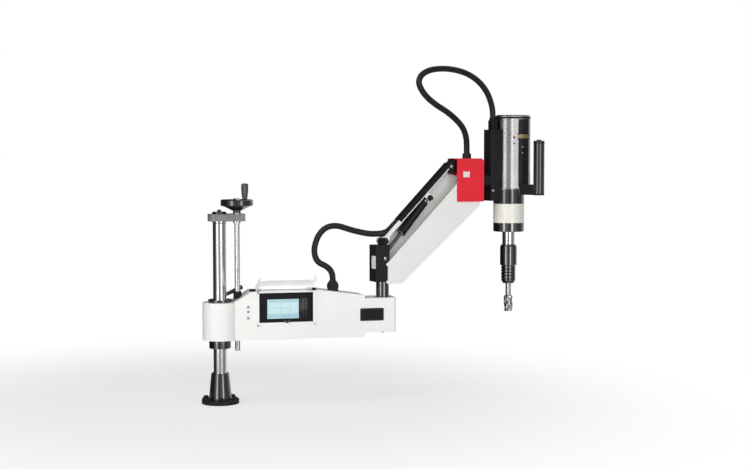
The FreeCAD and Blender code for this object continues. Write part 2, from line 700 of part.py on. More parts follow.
def crank_grip():
    bore_r = AXLE_D / 2 + RUN
    well_r = AXLE_HEAD_D / 2 + GAP
    well_z = GRIP_TOP_Z - AXLE_HEAD_T - GAP
    return turned([(bore_r, GRIP_LOW_Z), (GRIP_LOW_D / 2, GRIP_LOW_Z),
                   (GRIP_TOP_D / 2, GRIP_TOP_Z - 2 * GRIP_EDGE),
                   (GRIP_TOP_D / 2 - GRIP_EDGE, GRIP_TOP_Z),
                   (well_r, GRIP_TOP_Z), (well_r, well_z), (bore_r, well_z)], GRIP_X, GRIP_Y)


# Hub and clamp
def hub_housing():
    body = post(HUB_D, HUB_LOW_Z, HUB_TOP_Z)
    front = post(HUB_FRONT_D, HUB_LOW_Z, HUB_TOP_Z)
    front = rounded(front, HUB_EDGE, circles_at(HUB_TOP_Z, HUB_FRONT_D / 2))
    front = front.cut(brick((BOX_LEFT_X, -HUB_FRONT_D, HUB_LOW_Z - OVERRUN),
                            (HUB_FRONT_D, HUB_FRONT_D, HUB_TOP_Z + OVERRUN)))
    body = body.fuse(front).removeSplitter()
    body = body.cut(post(GUIDE_D, HUB_LOW_Z - OVERRUN, HUB_TOP_Z + OVERRUN))
    return body.cut(post(SCREW_HOLE_D, HUB_LOW_Z - OVERRUN, HUB_TOP_Z + OVERRUN, SCREW_X))


def guide_bushes():
    bore = COLUMN_D + 2 * RUN
    low = sleeve(GUIDE_D, bore, HUB_LOW_Z, HUB_LOW_Z + GUIDE_LENGTH)
    high = sleeve(GUIDE_D, bore, HUB_TOP_Z - GUIDE_LENGTH, HUB_TOP_Z)
    return group([low, high])


def lower_collar():
    low = HUB_LOW_Z - LOW_COLLAR_T
    body = post(LOW_COLLAR_D, low, HUB_LOW_Z)
    body = rounded(body, LOW_COLLAR_EDGE, circles_at(low, LOW_COLLAR_D / 2))
    return body.cut(post(COLUMN_D + 2 * GAP, low - OVERRUN, HUB_LOW_Z + OVERRUN))


def clamp_collar():
    top = HUB_TOP_Z + CLAMP_COLLAR_T
    boss_top = CLAMP_AXIS_Z + CLAMP_STUD_D
    body = post(CLAMP_COLLAR_D, HUB_TOP_Z, top)
    boss = brick((-CLAMP_BOSS_W / 2, CLAMP_BOSS_IN_Y, HUB_TOP_Z),
                 (CLAMP_BOSS_W / 2, CLAMP_BOSS_OUT_Y, boss_top))
    body = body.fuse(boss).removeSplitter()
    body = body.cut(post(COLUMN_D + 2 * GAP, HUB_TOP_Z - OVERRUN, boss_top + OVERRUN))
    return body.cut(cross_post(CLAMP_STUD_D + 2 * RUN, 0, CLAMP_AXIS_Z, 0,
                               CLAMP_BOSS_OUT_Y + OVERRUN))


def clamp_lever():
    stud = cross_post(CLAMP_STUD_D, 0, CLAMP_AXIS_Z, COLUMN_R + GAP, LEVER_HUB_IN_Y)
    hub_out = LEVER_HUB_IN_Y + LEVER_HUB_W
    hub = cross_post(LEVER_HUB_D, 0, CLAMP_AXIS_Z, LEVER_HUB_IN_Y, hub_out)
    arm = Part.makeCone(LEVER_ROOT_D / 2, LEVER_END_D / 2, LEVER_LENGTH)
    arm = rounded(arm, LEVER_END_D / 2 - LEVER_CAP_T, circles_at(LEVER_LENGTH, LEVER_END_D / 2))
    arm.rotate(at(0, 0, 0), at(0, 1, 0), 90 - LEVER_ANGLE)
    arm.translate(at(0, LEVER_HUB_IN_Y + LEVER_HUB_W / 2, CLAMP_AXIS_Z))
    return stud.fuse(hub).fuse(arm)


# Beam
def box_outline(inset=0):
    return [(BOX_LEFT_X + inset, BOX_LOW_Z + inset), (BOX_RIGHT_X - inset, BOX_LOW_Z + inset),
            (BOX_RIGHT_X - inset, BOX_RIGHT_TOP_Z - inset), (BOX_TOP_END_X, BOX_TOP_Z - inset),
            (BOX_SLOPE_TOP_X, BOX_TOP_Z - inset), (BOX_SLOPE_LOW_X, BOX_LEFT_TOP_Z - inset),
            (BOX_LEFT_X + inset, BOX_LEFT_TOP_Z - inset)]


def beam_housing():
    back = BOX_HALF_W - REAR_COVER_T
    shell = panel(box_outline(), -BOX_HALF_W, back)
    right = shell.BoundBox.XMax
    shell = rounded(shell, BOX_CORNER, lambda edge: crossing(edge) and edge.BoundBox.XMin > right - RUN)
    shell = shell.cut(panel(box_outline(BOX_WALL), BOX_WALL - BOX_HALF_W, back + OVERRUN))
    shell = shell.cut(post(HUB_D, BOX_LOW_Z - OVERRUN, BOX_TOP_Z))
    shell = shell.cut(post(SCREW_HOLE_D, BOX_LOW_Z - OVERRUN, BOX_TOP_Z, SCREW_X))
    outside = -BOX_HALF_W - OVERRUN
    window = brick((RECESS_LEFT_X - TRAY_WALL, outside, RECESS_LOW_Z - TRAY_WALL),
                   (RECESS_RIGHT_X + TRAY_WALL, outside + 2 * OVERRUN, RECESS_TOP_Z))
    shell = shell.cut(window)
    for height in LAMP_HEIGHTS:
        shell = shell.cut(cross_post(LAMP_BODY_D, LAMP_X, height, outside, outside + 2 * OVERRUN))
    return shell.cut(post(GLAND_HOLE_D, GLAND_STEM_LOW_Z, BOX_TOP_Z, GLAND_X))


def rear_cover():
    plate = panel(box_outline(), BOX_HALF_W - REAR_COVER_T, BOX_HALF_W)
    plate = plate.cut(post(HUB_D, BOX_LOW_Z - OVERRUN, BOX_TOP_Z))
    for x, z in rear_screw_places():
        plate = plate.cut(cross_post(COVER_SCREW_D, x, z, 0, BOX_HALF_W + OVERRUN))
    return plate


def rear_screw_places():
    first = SPINE_START_X + COVER_SCREW_INSET
    last = BOX_RIGHT_X - COVER_SCREW_INSET
    step = (last - first) / (COVER_SCREW_COLUMNS - 1)
    low = BOX_LOW_Z + COVER_SCREW_INSET
    high = BOX_RIGHT_TOP_Z - COVER_SCREW_INSET
    columns = [first + step * index for index in range(COVER_SCREW_COLUMNS)]
    return [(x, z) for x in columns for z in (low, high)]


def frame_screw_places():
    left = FRAME_LEFT_X + FRAME_SCREW_INSET
    right = FRAME_RIGHT_X - FRAME_SCREW_INSET
    low = FRAME_LOW_Z + FRAME_SCREW_INSET
    high = FRAME_TOP_Z - FRAME_SCREW_INSET
    return [(left, low), (right, low), (left, high), (right, high)]


def housing_screws():
    solids = []
    for x, z in rear_screw_places():
        shank = cross_post(COVER_SCREW_D, x, z, BOX_HALF_W - COVER_SCREW_LENGTH, BOX_HALF_W)
        head = cross_post(COVER_SCREW_HEAD_D, x, z, BOX_HALF_W, BOX_HALF_W + COVER_SCREW_HEAD_T)
        solids.append(shank.fuse(head).removeSplitter())
    face = -BOX_HALF_W - FRAME_T
    for x, z in frame_screw_places():
        shank = cross_post(COVER_SCREW_D, x, z, face, -BOX_HALF_W)
        head = cross_post(COVER_SCREW_HEAD_D, x, z, face - COVER_SCREW_HEAD_T, face)
        solids.append(shank.fuse(head).removeSplitter())
    return group(solids)


def beam_frame():
    spine_low = BOX_LOW_Z + BOX_WALL
    half = SPINE_W / 2
    spine = brick((SPINE_START_X, -half, spine_low), (BOX_RIGHT_X - BOX_WALL, half, SPINE_TOP_Z))
    inner = brick((SPINE_START_X - OVERRUN, SPINE_WALL - half, spine_low + SPINE_WALL),
                  (BOX_RIGHT_X + OVERRUN, half - SPINE_WALL, SPINE_TOP_Z - SPINE_WALL))
    spine = spine.cut(inner)
    post_right = SPINE_START_X + SPINE_POST_T
    post_half = SPINE_POST_W / 2
    riser = brick((SPINE_START_X, -post_half, spine_low),
                  (post_right, post_half, NUT_PLATE_Z + NUT_PLATE_T))
    inside = BOX_LEFT_X + BOX_WALL
    shelf = brick((inside, -post_half, NUT_PLATE_Z),
                  (post_right, post_half, NUT_PLATE_Z + NUT_PLATE_T))
    shelf = shelf.cut(post(NUT_BODY_D, NUT_PLATE_Z - OVERRUN, NUT_PLATE_Z + 2 * NUT_PLATE_T, SCREW_X))
    solids = [riser, shelf]
    for side in (-1, 1):
        near = side * post_half
        far = side * (post_half - GUSSET_T)
        solids.append(brick((inside, min(near, far), spine_low),
                            (SPINE_START_X, max(near, far), NUT_PLATE_Z)))
    frame = spine.fuse(solids).removeSplitter()
    return frame.cut(post(HUB_D, spine_low - OVERRUN, NUT_PLATE_Z + 2 * NUT_PLATE_T))


def lift_nut():
    bore = SCREW_D + 2 * RUN
    body = sleeve(NUT_BODY_D, bore, NUT_LOW_Z, NUT_TOP_Z, SCREW_X)
    flange = sleeve(NUT_FLANGE_D, bore, NUT_PLATE_Z - NUT_FLANGE_T, NUT_PLATE_Z, SCREW_X)
    body = body.fuse(flange).removeSplitter()
    return body.cut(post(HUB_D, NUT_LOW_Z - OVERRUN, NUT_TOP_Z + OVERRUN))


def servo_drive():
    low = (DRIVE_LEFT_X, DRIVE_FRONT_Y, SPINE_TOP_Z)
    high = (DRIVE_LEFT_X + DRIVE_LENGTH, DRIVE_BACK_Y, SPINE_TOP_Z + DRIVE_H)
    return rounded(brick(low, high), DRIVE_EDGE, upright)


# Screen
def screen_tray():
    face = -BOX_HALF_W - TRAY_LIP
    floor = face + RECESS_DEPTH
    body = brick((RECESS_LEFT_X - TRAY_WALL, face, RECESS_LOW_Z - TRAY_WALL),
                 (RECESS_RIGHT_X + TRAY_WALL, floor + TRAY_WALL, RECESS_TOP_Z))
    body = body.cut(brick((RECESS_LEFT_X, face - OVERRUN, RECESS_LOW_Z),
                          (RECESS_RIGHT_X, floor, RECESS_TOP_Z - TRAY_WALL)))
    pocket = brick((SCREEN_LEFT_X, floor - OVERRUN, SCREEN_LOW_Z),
                   (SCREEN_RIGHT_X, floor + 2 * OVERRUN, SCREEN_TOP_Z))
    return body.cut(pocket)


def touch_screen():
    floor = RECESS_DEPTH - BOX_HALF_W - TRAY_LIP
    face = floor - SCREEN_LIFT
    return brick((SCREEN_LEFT_X, face, SCREEN_LOW_Z),
                 (SCREEN_RIGHT_X, face + SCREEN_T, SCREEN_TOP_Z))


def screen_frame():
    face = -BOX_HALF_W - FRAME_T
    body = brick((FRAME_LEFT_X, face, FRAME_LOW_Z), (FRAME_RIGHT_X, -BOX_HALF_W, FRAME_TOP_Z))
    body = rounded(body, FRAME_ROUND, crossing)
    hole = brick((RECESS_LEFT_X, face - OVERRUN, RECESS_LOW_Z),
                 (RECESS_RIGHT_X, 0, RECESS_TOP_Z - TRAY_WALL))
    rim = brick((RECESS_LEFT_X - TRAY_WALL, -BOX_HALF_W - TRAY_LIP, RECESS_LOW_Z - TRAY_WALL),
                (RECESS_RIGHT_X + TRAY_WALL, 0, RECESS_TOP_Z))
    latch = cross_post(2 * LATCH_R, LATCH_X, RECESS_LOW_Z + LATCH_RISE, face - LATCH_T, face)
    latch = latch.cut(brick((LATCH_X - 2 * LATCH_R, face - OVERRUN, RECESS_LOW_Z),
                            (LATCH_X + 2 * LATCH_R, 0, RECESS_LOW_Z + 2 * LATCH_R)))
    body = body.fuse(latch).cut(hole).cut(rim)
    for x, z in frame_screw_places():
        body = body.cut(cross_post(COVER_SCREW_D, x, z, face - OVERRUN, 0))
    return body.removeSplitter()


def hinge_spans():
    inner = HINGE_KNUCKLE_L + GAP
    left = FLAP_LEFT_X + FLAP_T + GAP
    right = FLAP_RIGHT_X - FLAP_T - GAP
    return [(left, left + inner), (right - inner, right)]


def cover_hinge():
    solids = []
    for low_x, high_x in hinge_spans():
        knuckle = Part.makeCylinder(HINGE_KNUCKLE_D / 2, high_x - low_x,
                                    at(low_x, HINGE_Y, HINGE_Z), at(1, 0, 0))
        tab = brick((low_x, HINGE_Y, FRAME_TOP_Z), (high_x, -BOX_HALF_W, HINGE_Z))
        solids.append(knuckle.fuse(tab))
    pin = Part.makeCylinder(HINGE_PIN_D / 2, FLAP_RIGHT_X - FLAP_LEFT_X,
                            at(FLAP_LEFT_X, HINGE_Y, HINGE_Z), at(1, 0, 0))
    return pin.fuse(solids)


def screen_cover():
    out = HINGE_Y - FLAP_DEPTH
    skin_y = out + FLAP_T
    top = HINGE_Z + FLAP_HINGE_HOLD
    low = top - FLAP_LENGTH
    lip_y = HINGE_Y + FLAP_T
    body = brick((FLAP_LEFT_X, out, low), (FLAP_RIGHT_X, lip_y, top))
    corners = [e for e in body.Edges if crossing(e) and e.BoundBox.ZMin < low + RUN]
    body = body.makeFillet(FLAP_ROUND, corners)
    inside = brick((FLAP_LEFT_X + FLAP_T, skin_y, low + FLAP_T),
                   (FLAP_RIGHT_X - FLAP_T, lip_y + OVERRUN, top - FLAP_T))
    corners = [e for e in inside.Edges if crossing(e) and e.BoundBox.ZMin < low + FLAP_T + RUN]
    inside = inside.makeFillet(FLAP_ROUND - FLAP_T, corners)
    body = body.cut(inside)
    pin = Part.makeCylinder(HINGE_PIN_D / 2 + RUN, FLAP_RIGHT_X - FLAP_LEFT_X + 2 * OVERRUN,
                            at(FLAP_LEFT_X - OVERRUN, HINGE_Y, HINGE_Z), at(1, 0, 0))
    body = body.cut(pin)
    for low_x, high_x in hinge_spans():
        notch = brick((low_x - GAP, HINGE_Y - HINGE_KNUCKLE_D, HINGE_Z - HINGE_KNUCKLE_D),
                      (high_x + GAP, lip_y + OVERRUN, top + OVERRUN))
        body = body.cut(notch)
    body.rotate(at(0, HINGE_Y, HINGE_Z), at(1, 0, 0), -FLAP_OPEN_ANGLE)
    return body


def indicator_lamps():
    solids = []
    for height in LAMP_HEIGHTS:
        body = cross_post(LAMP_BODY_D, LAMP_X, height, -BOX_HALF_W, LAMP_BODY_L - BOX_HALF_W)
        lens = cross_post(LAMP_D, LAMP_X, height, -BOX_HALF_W - LAMP_RISE, -BOX_HALF_W)
        front = [e for e in lens.Edges if e.BoundBox.YMax < RUN - BOX_HALF_W - LAMP_RISE]
        lens = lens.makeFillet(LAMP_RISE - RUN, front)
        solids.append(body.fuse(lens))
    return group(solids)


def cable_gland():
    hose = HOSE_D
    stem = sleeve(GLAND_HOLE_D, hose - 2 * BOX_WALL, GLAND_STEM_LOW_Z, GLAND_NUT_LOW_Z, GLAND_X)
    locknut_top = BOX_RIGHT_TOP_Z + (GLAND_STEM_LOW_Z - BOX_RIGHT_TOP_Z) + GLAND_LOCKNUT_T
    locknut = sleeve(GLAND_LOCKNUT_D, hose - 2 * BOX_WALL, GLAND_STEM_LOW_Z, locknut_top, GLAND_X)
    base = sleeve(GLAND_BASE_D, hose - 2 * BOX_WALL, GLAND_STEM_LOW_Z,
                  GLAND_NUT_LOW_Z, GLAND_X)
    base = base.cut(panel(box_outline(), -BOX_HALF_W, BOX_HALF_W))
    dome = turned([(hose / 2 - BOX_WALL, GLAND_NUT_LOW_Z), (GLAND_NUT_D / 2 - BOX_WALL, GLAND_NUT_LOW_Z),
                   (GLAND_NUT_D / 2, GLAND_NUT_LOW_Z + 2 * BOX_WALL),
                   (GLAND_NUT_D / 2, GLAND_TOP_Z - 4 * BOX_WALL),
                   (GLAND_NECK_D / 2, GLAND_TOP_Z), (hose / 2 - BOX_WALL, GLAND_TOP_Z)], GLAND_X)
    return stem.fuse([locknut, base, dome]).removeSplitter()


# End housing and arm post
def end_housing():
    body = brick((END_LEFT_X, -BOX_HALF_W, END_LOW_Z), (END_RIGHT_X, BOX_HALF_W, END_TOP_Z))
    body = rounded(body, END_ROUND, lambda edge: upright(edge) and edge.BoundBox.XMin > END_LEFT_X + RUN)
    body = body.cut(post(POST_BORE_D, END_LOW_Z - OVERRUN, END_TOP_Z + OVERRUN, POST_X))
    for low in bearing_heights():
        body = body.cut(post(BEARING_D, low, low + BEARING_T, POST_X))
    return body.cut(post(BEARING_D, END_LOW_Z - OVERRUN, END_LOW_Z + POST_WASHER_T, POST_X))


def bearing_heights():
    return END_LOW_Z + POST_WASHER_T, END_TOP_Z - BEARING_T


def post_bearings():
    bore = POST_JOURNAL_D + 2 * RUN
    return group([sleeve(BEARING_D, bore, low, low + BEARING_T, POST_X)
                  for low in bearing_heights()])


def arm_post():
    low = bearing_heights()[0]
    journal = post(POST_JOURNAL_D, low, END_TOP_Z)
    shaft = post(POST_D, END_TOP_Z, BLOCK_LOW_Z + BLOCK_POST_DEPTH)
    body = journal.fuse(shaft).removeSplitter()
    return body.cut(post(POST_BOLT_D, low - OVERRUN, low + POST_BOLT_LENGTH))


def post_bolt():
    washer_top = bearing_heights()[0]
    washer_low = washer_top - POST_WASHER_T
    shank = post(POST_BOLT_D, washer_low, washer_top + POST_BOLT_LENGTH)
    washer = post(POST_WASHER_D, washer_low, washer_top)
    head = hexagon(POST_BOLT_HEAD_D, washer_low - POST_BOLT_HEAD_T, washer_low)
    return shank.fuse([washer, head]).removeSplitter()


# Arm
def pivot_block():
    body = brick((-BLOCK_HALF_L, -BLOCK_HALF_W, BLOCK_LOW_Z), (BLOCK_HALF_L, BLOCK_HALF_W, BLOCK_TOP_Z))
    body = rounded(body, BLOCK_EDGE, upright)
    boss = cross_post(2 * BLOCK_BOSS_R, PIVOT_A2_H, PIVOT_A2_Z, -BLOCK_HALF_W, BLOCK_HALF_W)
    ear = cross_post(2 * LUG_R, PIVOT_A1_H, PIVOT_A1_Z, -LUG_HALF_W, LUG_HALF_W)
    neck = brick((PIVOT_A1_H - LUG_HALF_L, -LUG_HALF_W, BLOCK_TOP_Z - BLOCK_EDGE),
                 (PIVOT_A1_H + LUG_HALF_L, LUG_HALF_W, PIVOT_A1_Z))
    body = body.fuse([boss, ear, neck]).removeSplitter()
    slot_z = STRUT_LOW_Z - STRUT_SLOT_BELOW
    slot = panel([(STRUT_LOW_H - STRUT_SLOT_BACK_H, slot_z), (BLOCK_SHOULDER_H + OVERRUN, slot_z),
                  (BLOCK_SHOULDER_H + OVERRUN, BLOCK_TOP_Z - STRUT_SLOT_ROOF_T),
                  (STRUT_LOW_H - STRUT_SLOT_BACK_H, STRUT_LOW_Z + STRUT_SLOT_BACK_H)],
                 -STRUT_SLOT_HALF_W, STRUT_SLOT_HALF_W)
    shoulder = brick((BLOCK_SHOULDER_H, -2 * BLOCK_HALF_W, slot_z),
                     (BLOCK_HALF_L + OVERRUN, 2 * BLOCK_HALF_W, BLOCK_TOP_Z + OVERRUN))
    body = body.cut([slot, shoulder])
    body = body.cut(post(POST_D, BLOCK_LOW_Z - OVERRUN, BLOCK_LOW_Z + BLOCK_POST_DEPTH))
    for h, z, diameter in ((PIVOT_A1_H, PIVOT_A1_Z, PIN_D), (PIVOT_A2_H, PIVOT_A2_Z, PIN_D),
                           (STRUT_LOW_H, STRUT_LOW_Z, STRUT_PIN_D)):
        body = body.cut(cross_post(diameter, h, z, -2 * BLOCK_HALF_W, 2 * BLOCK_HALF_W))
    return body


def headed_pin(diameter, h, z, half, head_d, head_t):
    pin = cross_post(diameter, h, z, -half, half)
    near = cross_post(head_d, h, z, -half - head_t, -half)
    far = cross_post(head_d, h, z, half, half + head_t)
    return pin.fuse([near, far]).removeSplitter()


def pivot_pins():
    bar_out = BAR_HALF_GAP + BAR_T + GAP
    upper = headed_pin(PIN_D, PIVOT_A1_H, PIVOT_A1_Z, bar_out, PIN_HEAD_D, BUSH_FLANGE_T)
    far_end = PLATE_OUT + BUSH_FLANGE_T + GAP
    lower = cross_post(PIN_D, PIVOT_A2_H, PIVOT_A2_Z, PLATE_SKIN + GAP - PLATE_OUT, far_end)
    head = cross_post(PIN_HEAD_D, PIVOT_A2_H, PIVOT_A2_Z, far_end, far_end + BUSH_FLANGE_T)
    lower = lower.fuse(head).removeSplitter()
    strut = cross_post(STRUT_PIN_D, STRUT_LOW_H, STRUT_LOW_Z, -BLOCK_HALF_W, BLOCK_HALF_W)
    return group([upper, lower, strut])


def offsets(pairs, h, z):
    return [(h + over, z + up) for over, up in pairs]


def lower_link():
    foot = offsets(LOW_LINK_FOOT, PIVOT_A2_H, PIVOT_A2_Z)
    nose = offsets(LOW_LINK_NOSE, PIVOT_B2_H, PIVOT_B2_Z)
    left, low = foot[0]
    slope = math.tan(math.radians(LINK_ANGLE))
    near_foot = along_link(PIVOT_A2_H, PIVOT_A2_Z, 0, NEAR_PLATE_RISE)
    near_left_z = near_foot[1] + (left - near_foot[0]) * slope
    peak = offsets([FAR_PLATE_PEAK], PIVOT_B2_H, PIVOT_B2_Z)
    steps = offsets(FAR_PLATE_STEPS, PIVOT_A2_H, PIVOT_A2_Z)
    near = panel(foot + nose + [(left, near_left_z)], -PLATE_OUT, -PLATE_IN)
    far = panel(foot + nose + peak + steps, PLATE_IN, PLATE_OUT)
    heel = foot[2]
    end = nose[0]
    run = math.hypot(end[0] - heel[0], end[1] - heel[1])
    step_h = -(end[1] - heel[1]) / run * WEB_T
    step_z = (end[0] - heel[0]) / run * WEB_T
    web = panel([heel, end, (end[0] + step_h, end[1] + step_z), (heel[0] + step_h, heel[1] + step_z)],
                -PLATE_OUT, PLATE_OUT)
    body = near.fuse([far, web]).removeSplitter()
    for h, z in ((left, near_left_z - LOBE_R), (left, low + LOBE_R)):
        body = body.fuse(cross_post(2 * LOBE_R, h, z, -PLATE_OUT, -PLATE_IN))
    blind = PLATE_SKIN - PLATE_OUT
    body = body.cut(cross_post(BUSH_D, PIVOT_A2_H, PIVOT_A2_Z, blind, 2 * PLATE_OUT))
    body = body.cut(cross_post(BUSH_D, PIVOT_B2_H, PIVOT_B2_Z, -2 * PLATE_OUT, 2 * PLATE_OUT))
    return body.removeSplitter()


def bush(h, z, low, high, rim_low, rim_high):
    body = cross_post(BUSH_D, h, z, low, high)
    if rim_high > rim_low:
        body = body.fuse(cross_post(BUSH_FLANGE_D, h, z, rim_low, rim_high))
    return body.cut(cross_post(PIN_D + 2 * RUN, h, z, -2 * PLATE_OUT, 2 * PLATE_OUT))


def lower_link_bushes():
    inner = PLATE_IN - BUSH_FLANGE_T
    rim = PLATE_OUT + BUSH_FLANGE_T
    near = bush(PIVOT_A2_H, PIVOT_A2_Z, PLATE_SKIN - PLATE_OUT, -PLATE_IN, 0, 0)
    far = bush(PIVOT_A2_H, PIVOT_A2_Z, PLATE_IN, PLATE_OUT, PLATE_OUT, rim)
    near_top = bush(PIVOT_B2_H, PIVOT_B2_Z, -PLATE_OUT, -PLATE_IN, -PLATE_IN, -inner)
    far_top = bush(PIVOT_B2_H, PIVOT_B2_Z, PLATE_IN, PLATE_OUT, inner, PLATE_IN)
    return group([near, far, near_top, far_top])


def link_bar(low_n, high_n):
    corners = [along_link(PIVOT_A1_H, PIVOT_A1_Z, 0, -BAR_DOWN),
               along_link(PIVOT_A1_H, PIVOT_A1_Z, LINK_LENGTH, -BAR_DOWN),
               along_link(PIVOT_A1_H, PIVOT_A1_Z, LINK_LENGTH - BAR_UP, BAR_UP),
               along_link(PIVOT_A1_H, PIVOT_A1_Z, BAR_UP, BAR_UP)]
    body = panel(corners, low_n, high_n)
    top_h, top_z = along_link(PIVOT_A1_H, PIVOT_A1_Z, STRUT_TOP_S, -STRUT_TOP_DROP)
    lug = cross_post(2 * STRUT_LUG_R, top_h, top_z, low_n, high_n)
    root = [along_link(PIVOT_A1_H, PIVOT_A1_Z, STRUT_TOP_S - STRUT_LUG_R, 0),
            along_link(PIVOT_A1_H, PIVOT_A1_Z, STRUT_TOP_S - STRUT_LUG_R, -STRUT_TOP_DROP),
            along_link(PIVOT_A1_H, PIVOT_A1_Z, STRUT_TOP_S + STRUT_LUG_R, -STRUT_TOP_DROP),
            along_link(PIVOT_A1_H, PIVOT_A1_Z, STRUT_TOP_S + STRUT_LUG_R, 0)]
    body = body.fuse([lug, panel(root, low_n, high_n)])
    for h, z in ((PIVOT_A1_H, PIVOT_A1_Z), (PIVOT_B1_H, PIVOT_B1_Z)):
        body = body.fuse(cross_post(BAR_EYE_D, h, z, low_n, high_n))
    for h, z in ((PIVOT_A1_H, PIVOT_A1_Z), (PIVOT_B1_H, PIVOT_B1_Z)):
        body = body.cut(cross_post(PIN_D + 2 * RUN, h, z, low_n - OVERRUN, high_n + OVERRUN))
    return body.removeSplitter()


def upper_link():
    out = BAR_HALF_GAP + BAR_T
    near = link_bar(-out, -BAR_HALF_GAP)
    far = link_bar(BAR_HALF_GAP, out)
    solids = [far]
    for start in (DUCT_START + BAR_TIE_T, DUCT_END - 2 * BAR_EYE_D):
        ties = [along_link(PIVOT_A1_H, PIVOT_A1_Z, start, 0),
                along_link(PIVOT_A1_H, PIVOT_A1_Z, start + BAR_TIE_T, 0),
                along_link(PIVOT_A1_H, PIVOT_A1_Z, start + BAR_TIE_T, BAR_TIE_UP),
                along_link(PIVOT_A1_H, PIVOT_A1_Z, start, BAR_TIE_UP)]
        solids.append(panel(ties, -BAR_HALF_GAP, BAR_HALF_GAP))
    top_h, top_z = along_link(PIVOT_A1_H, PIVOT_A1_Z, STRUT_TOP_S, -STRUT_TOP_DROP)
    solids.append(cross_post(STRUT_PIN_D, top_h, top_z, -out, out))
    near_head = Part.makeCylinder(STRUT_PIN_HEAD_D / 2, STRUT_PIN_HEAD_T,
                                  at(top_h, -out - STRUT_PIN_HEAD_T, top_z), at(0, 1, 0))
    far_head = Part.makeCylinder(STRUT_PIN_HEAD_D / 2, STRUT_PIN_HEAD_T,
                                 at(top_h, out, top_z), at(0, 1, 0))
    return near.fuse(solids + [near_head, far_head]).removeSplitter()


def arm_duct():
    def section(low, high, start, end):
        return [along_link(PIVOT_A1_H, PIVOT_A1_Z, start, low),
                along_link(PIVOT_A1_H, PIVOT_A1_Z, end, low),
                along_link(PIVOT_A1_H, PIVOT_A1_Z, end, high),
                along_link(PIVOT_A1_H, PIVOT_A1_Z, start, high)]
    body = panel(section(DUCT_LOW, DUCT_HIGH, DUCT_START, DUCT_END), -DUCT_NEAR_W, DUCT_FAR_W)
    body = rounded(body, DUCT_EDGE, lambda edge: edge.BoundBox.ZLength > (DUCT_END - DUCT_START) / 2
                   and edge.BoundBox.ZMin > along_link(0, PIVOT_A1_Z, DUCT_START, DUCT_HIGH)[1] - RUN)
    hollow = panel(section(DUCT_LOW - OVERRUN, DUCT_HIGH - DUCT_WALL, DUCT_START + DUCT_WALL,
                           DUCT_END + OVERRUN), DUCT_WALL - DUCT_NEAR_W, DUCT_FAR_W - DUCT_WALL)
    slot = panel(section(DUCT_LOW - OVERRUN, BAR_UP + GAP, DUCT_START - OVERRUN, DUCT_START + OVERRUN),
                 -BAR_HALF_GAP - BAR_T - GAP, GAP - BAR_HALF_GAP)
    relief = panel(section(DUCT_LOW - OVERRUN, DUCT_HIGH - DUCT_WALL, DUCT_END - CLEVIS_EYE_D,
                           DUCT_END + OVERRUN), 0, DUCT_FAR_W + OVERRUN)
    body = body.cut([hollow, slot, relief])
    for start in (DUCT_START + BAR_TIE_T, DUCT_END - 2 * BAR_EYE_D):
        body = body.cut(panel(section(DUCT_LOW - OVERRUN, BAR_TIE_UP, start - GAP, start + BAR_TIE_T + GAP),
                              0, DUCT_FAR_W + OVERRUN))
        rest = section(BAR_TIE_UP, DUCT_HIGH - DUCT_WALL, start, start + BAR_TIE_T)
        body = body.fuse(panel(rest, -BAR_HALF_GAP, DUCT_FAR_W - DUCT_WALL))
    return body.removeSplitter()


def strut_ends():
    top = along_link(PIVOT_A1_H, PIVOT_A1_Z, STRUT_TOP_S, -STRUT_TOP_DROP)
    low = at(STRUT_LOW_H, 0, STRUT_LOW_Z)
    high = at(top[0], 0, top[1])
    way = high - low
    length = way.Length
    return low, high, way * (1 / length), length


def strut_cylinder():
    low, high, way, length = strut_ends()
    eye = cross_post(STRUT_EYE_D, high.x, high.z, -STRUT_EYE_W / 2, STRUT_EYE_W / 2)
    neck = Part.makeCylinder(STRUT_EYE_NECK_D / 2, STRUT_EYE_NECK_L + OVERRUN,
                             high - way * (STRUT_EYE_NECK_L + OVERRUN), way)
    barrel_length = STRUT_CYL_LENGTH - STRUT_EYE_NECK_L
    barrel = Part.makeCylinder(STRUT_CYL_D / 2, barrel_length, high - way * STRUT_CYL_LENGTH, way)
    body = barrel.fuse([neck, eye]).removeSplitter()
    bore = Part.makeCylinder(STRUT_BORE_D / 2, STRUT_CYL_LENGTH - STRUT_BORE_STOP + OVERRUN,
                             high - way * (STRUT_CYL_LENGTH + OVERRUN), way)
    body = body.cut(bore)
    hole = cross_post(STRUT_PIN_D + 2 * RUN, high.x, high.z, -2 * STRUT_EYE_W, 2 * STRUT_EYE_W)
    return body.cut(hole)


def strut_rod():
    low, high, way, length = strut_ends()
    eye = cross_post(STRUT_EYE_D, low.x, low.z, -STRUT_EYE_W / 2, STRUT_EYE_W / 2)
    neck = Part.makeCylinder(STRUT_EYE_NECK_D / 2, STRUT_EYE_NECK_L + OVERRUN, low, way)
    rod_length = length - STRUT_CYL_LENGTH + STRUT_ROD_INSIDE
    rod = Part.makeCylinder(STRUT_ROD_D / 2, rod_length, low, way)
    body = eye.fuse([neck, rod]).removeSplitter()
    hole = cross_post(STRUT_PIN_D + 2 * RUN, low.x, low.z, -2 * STRUT_EYE_W, 2 * STRUT_EYE_W)
    return body.cut(hole)


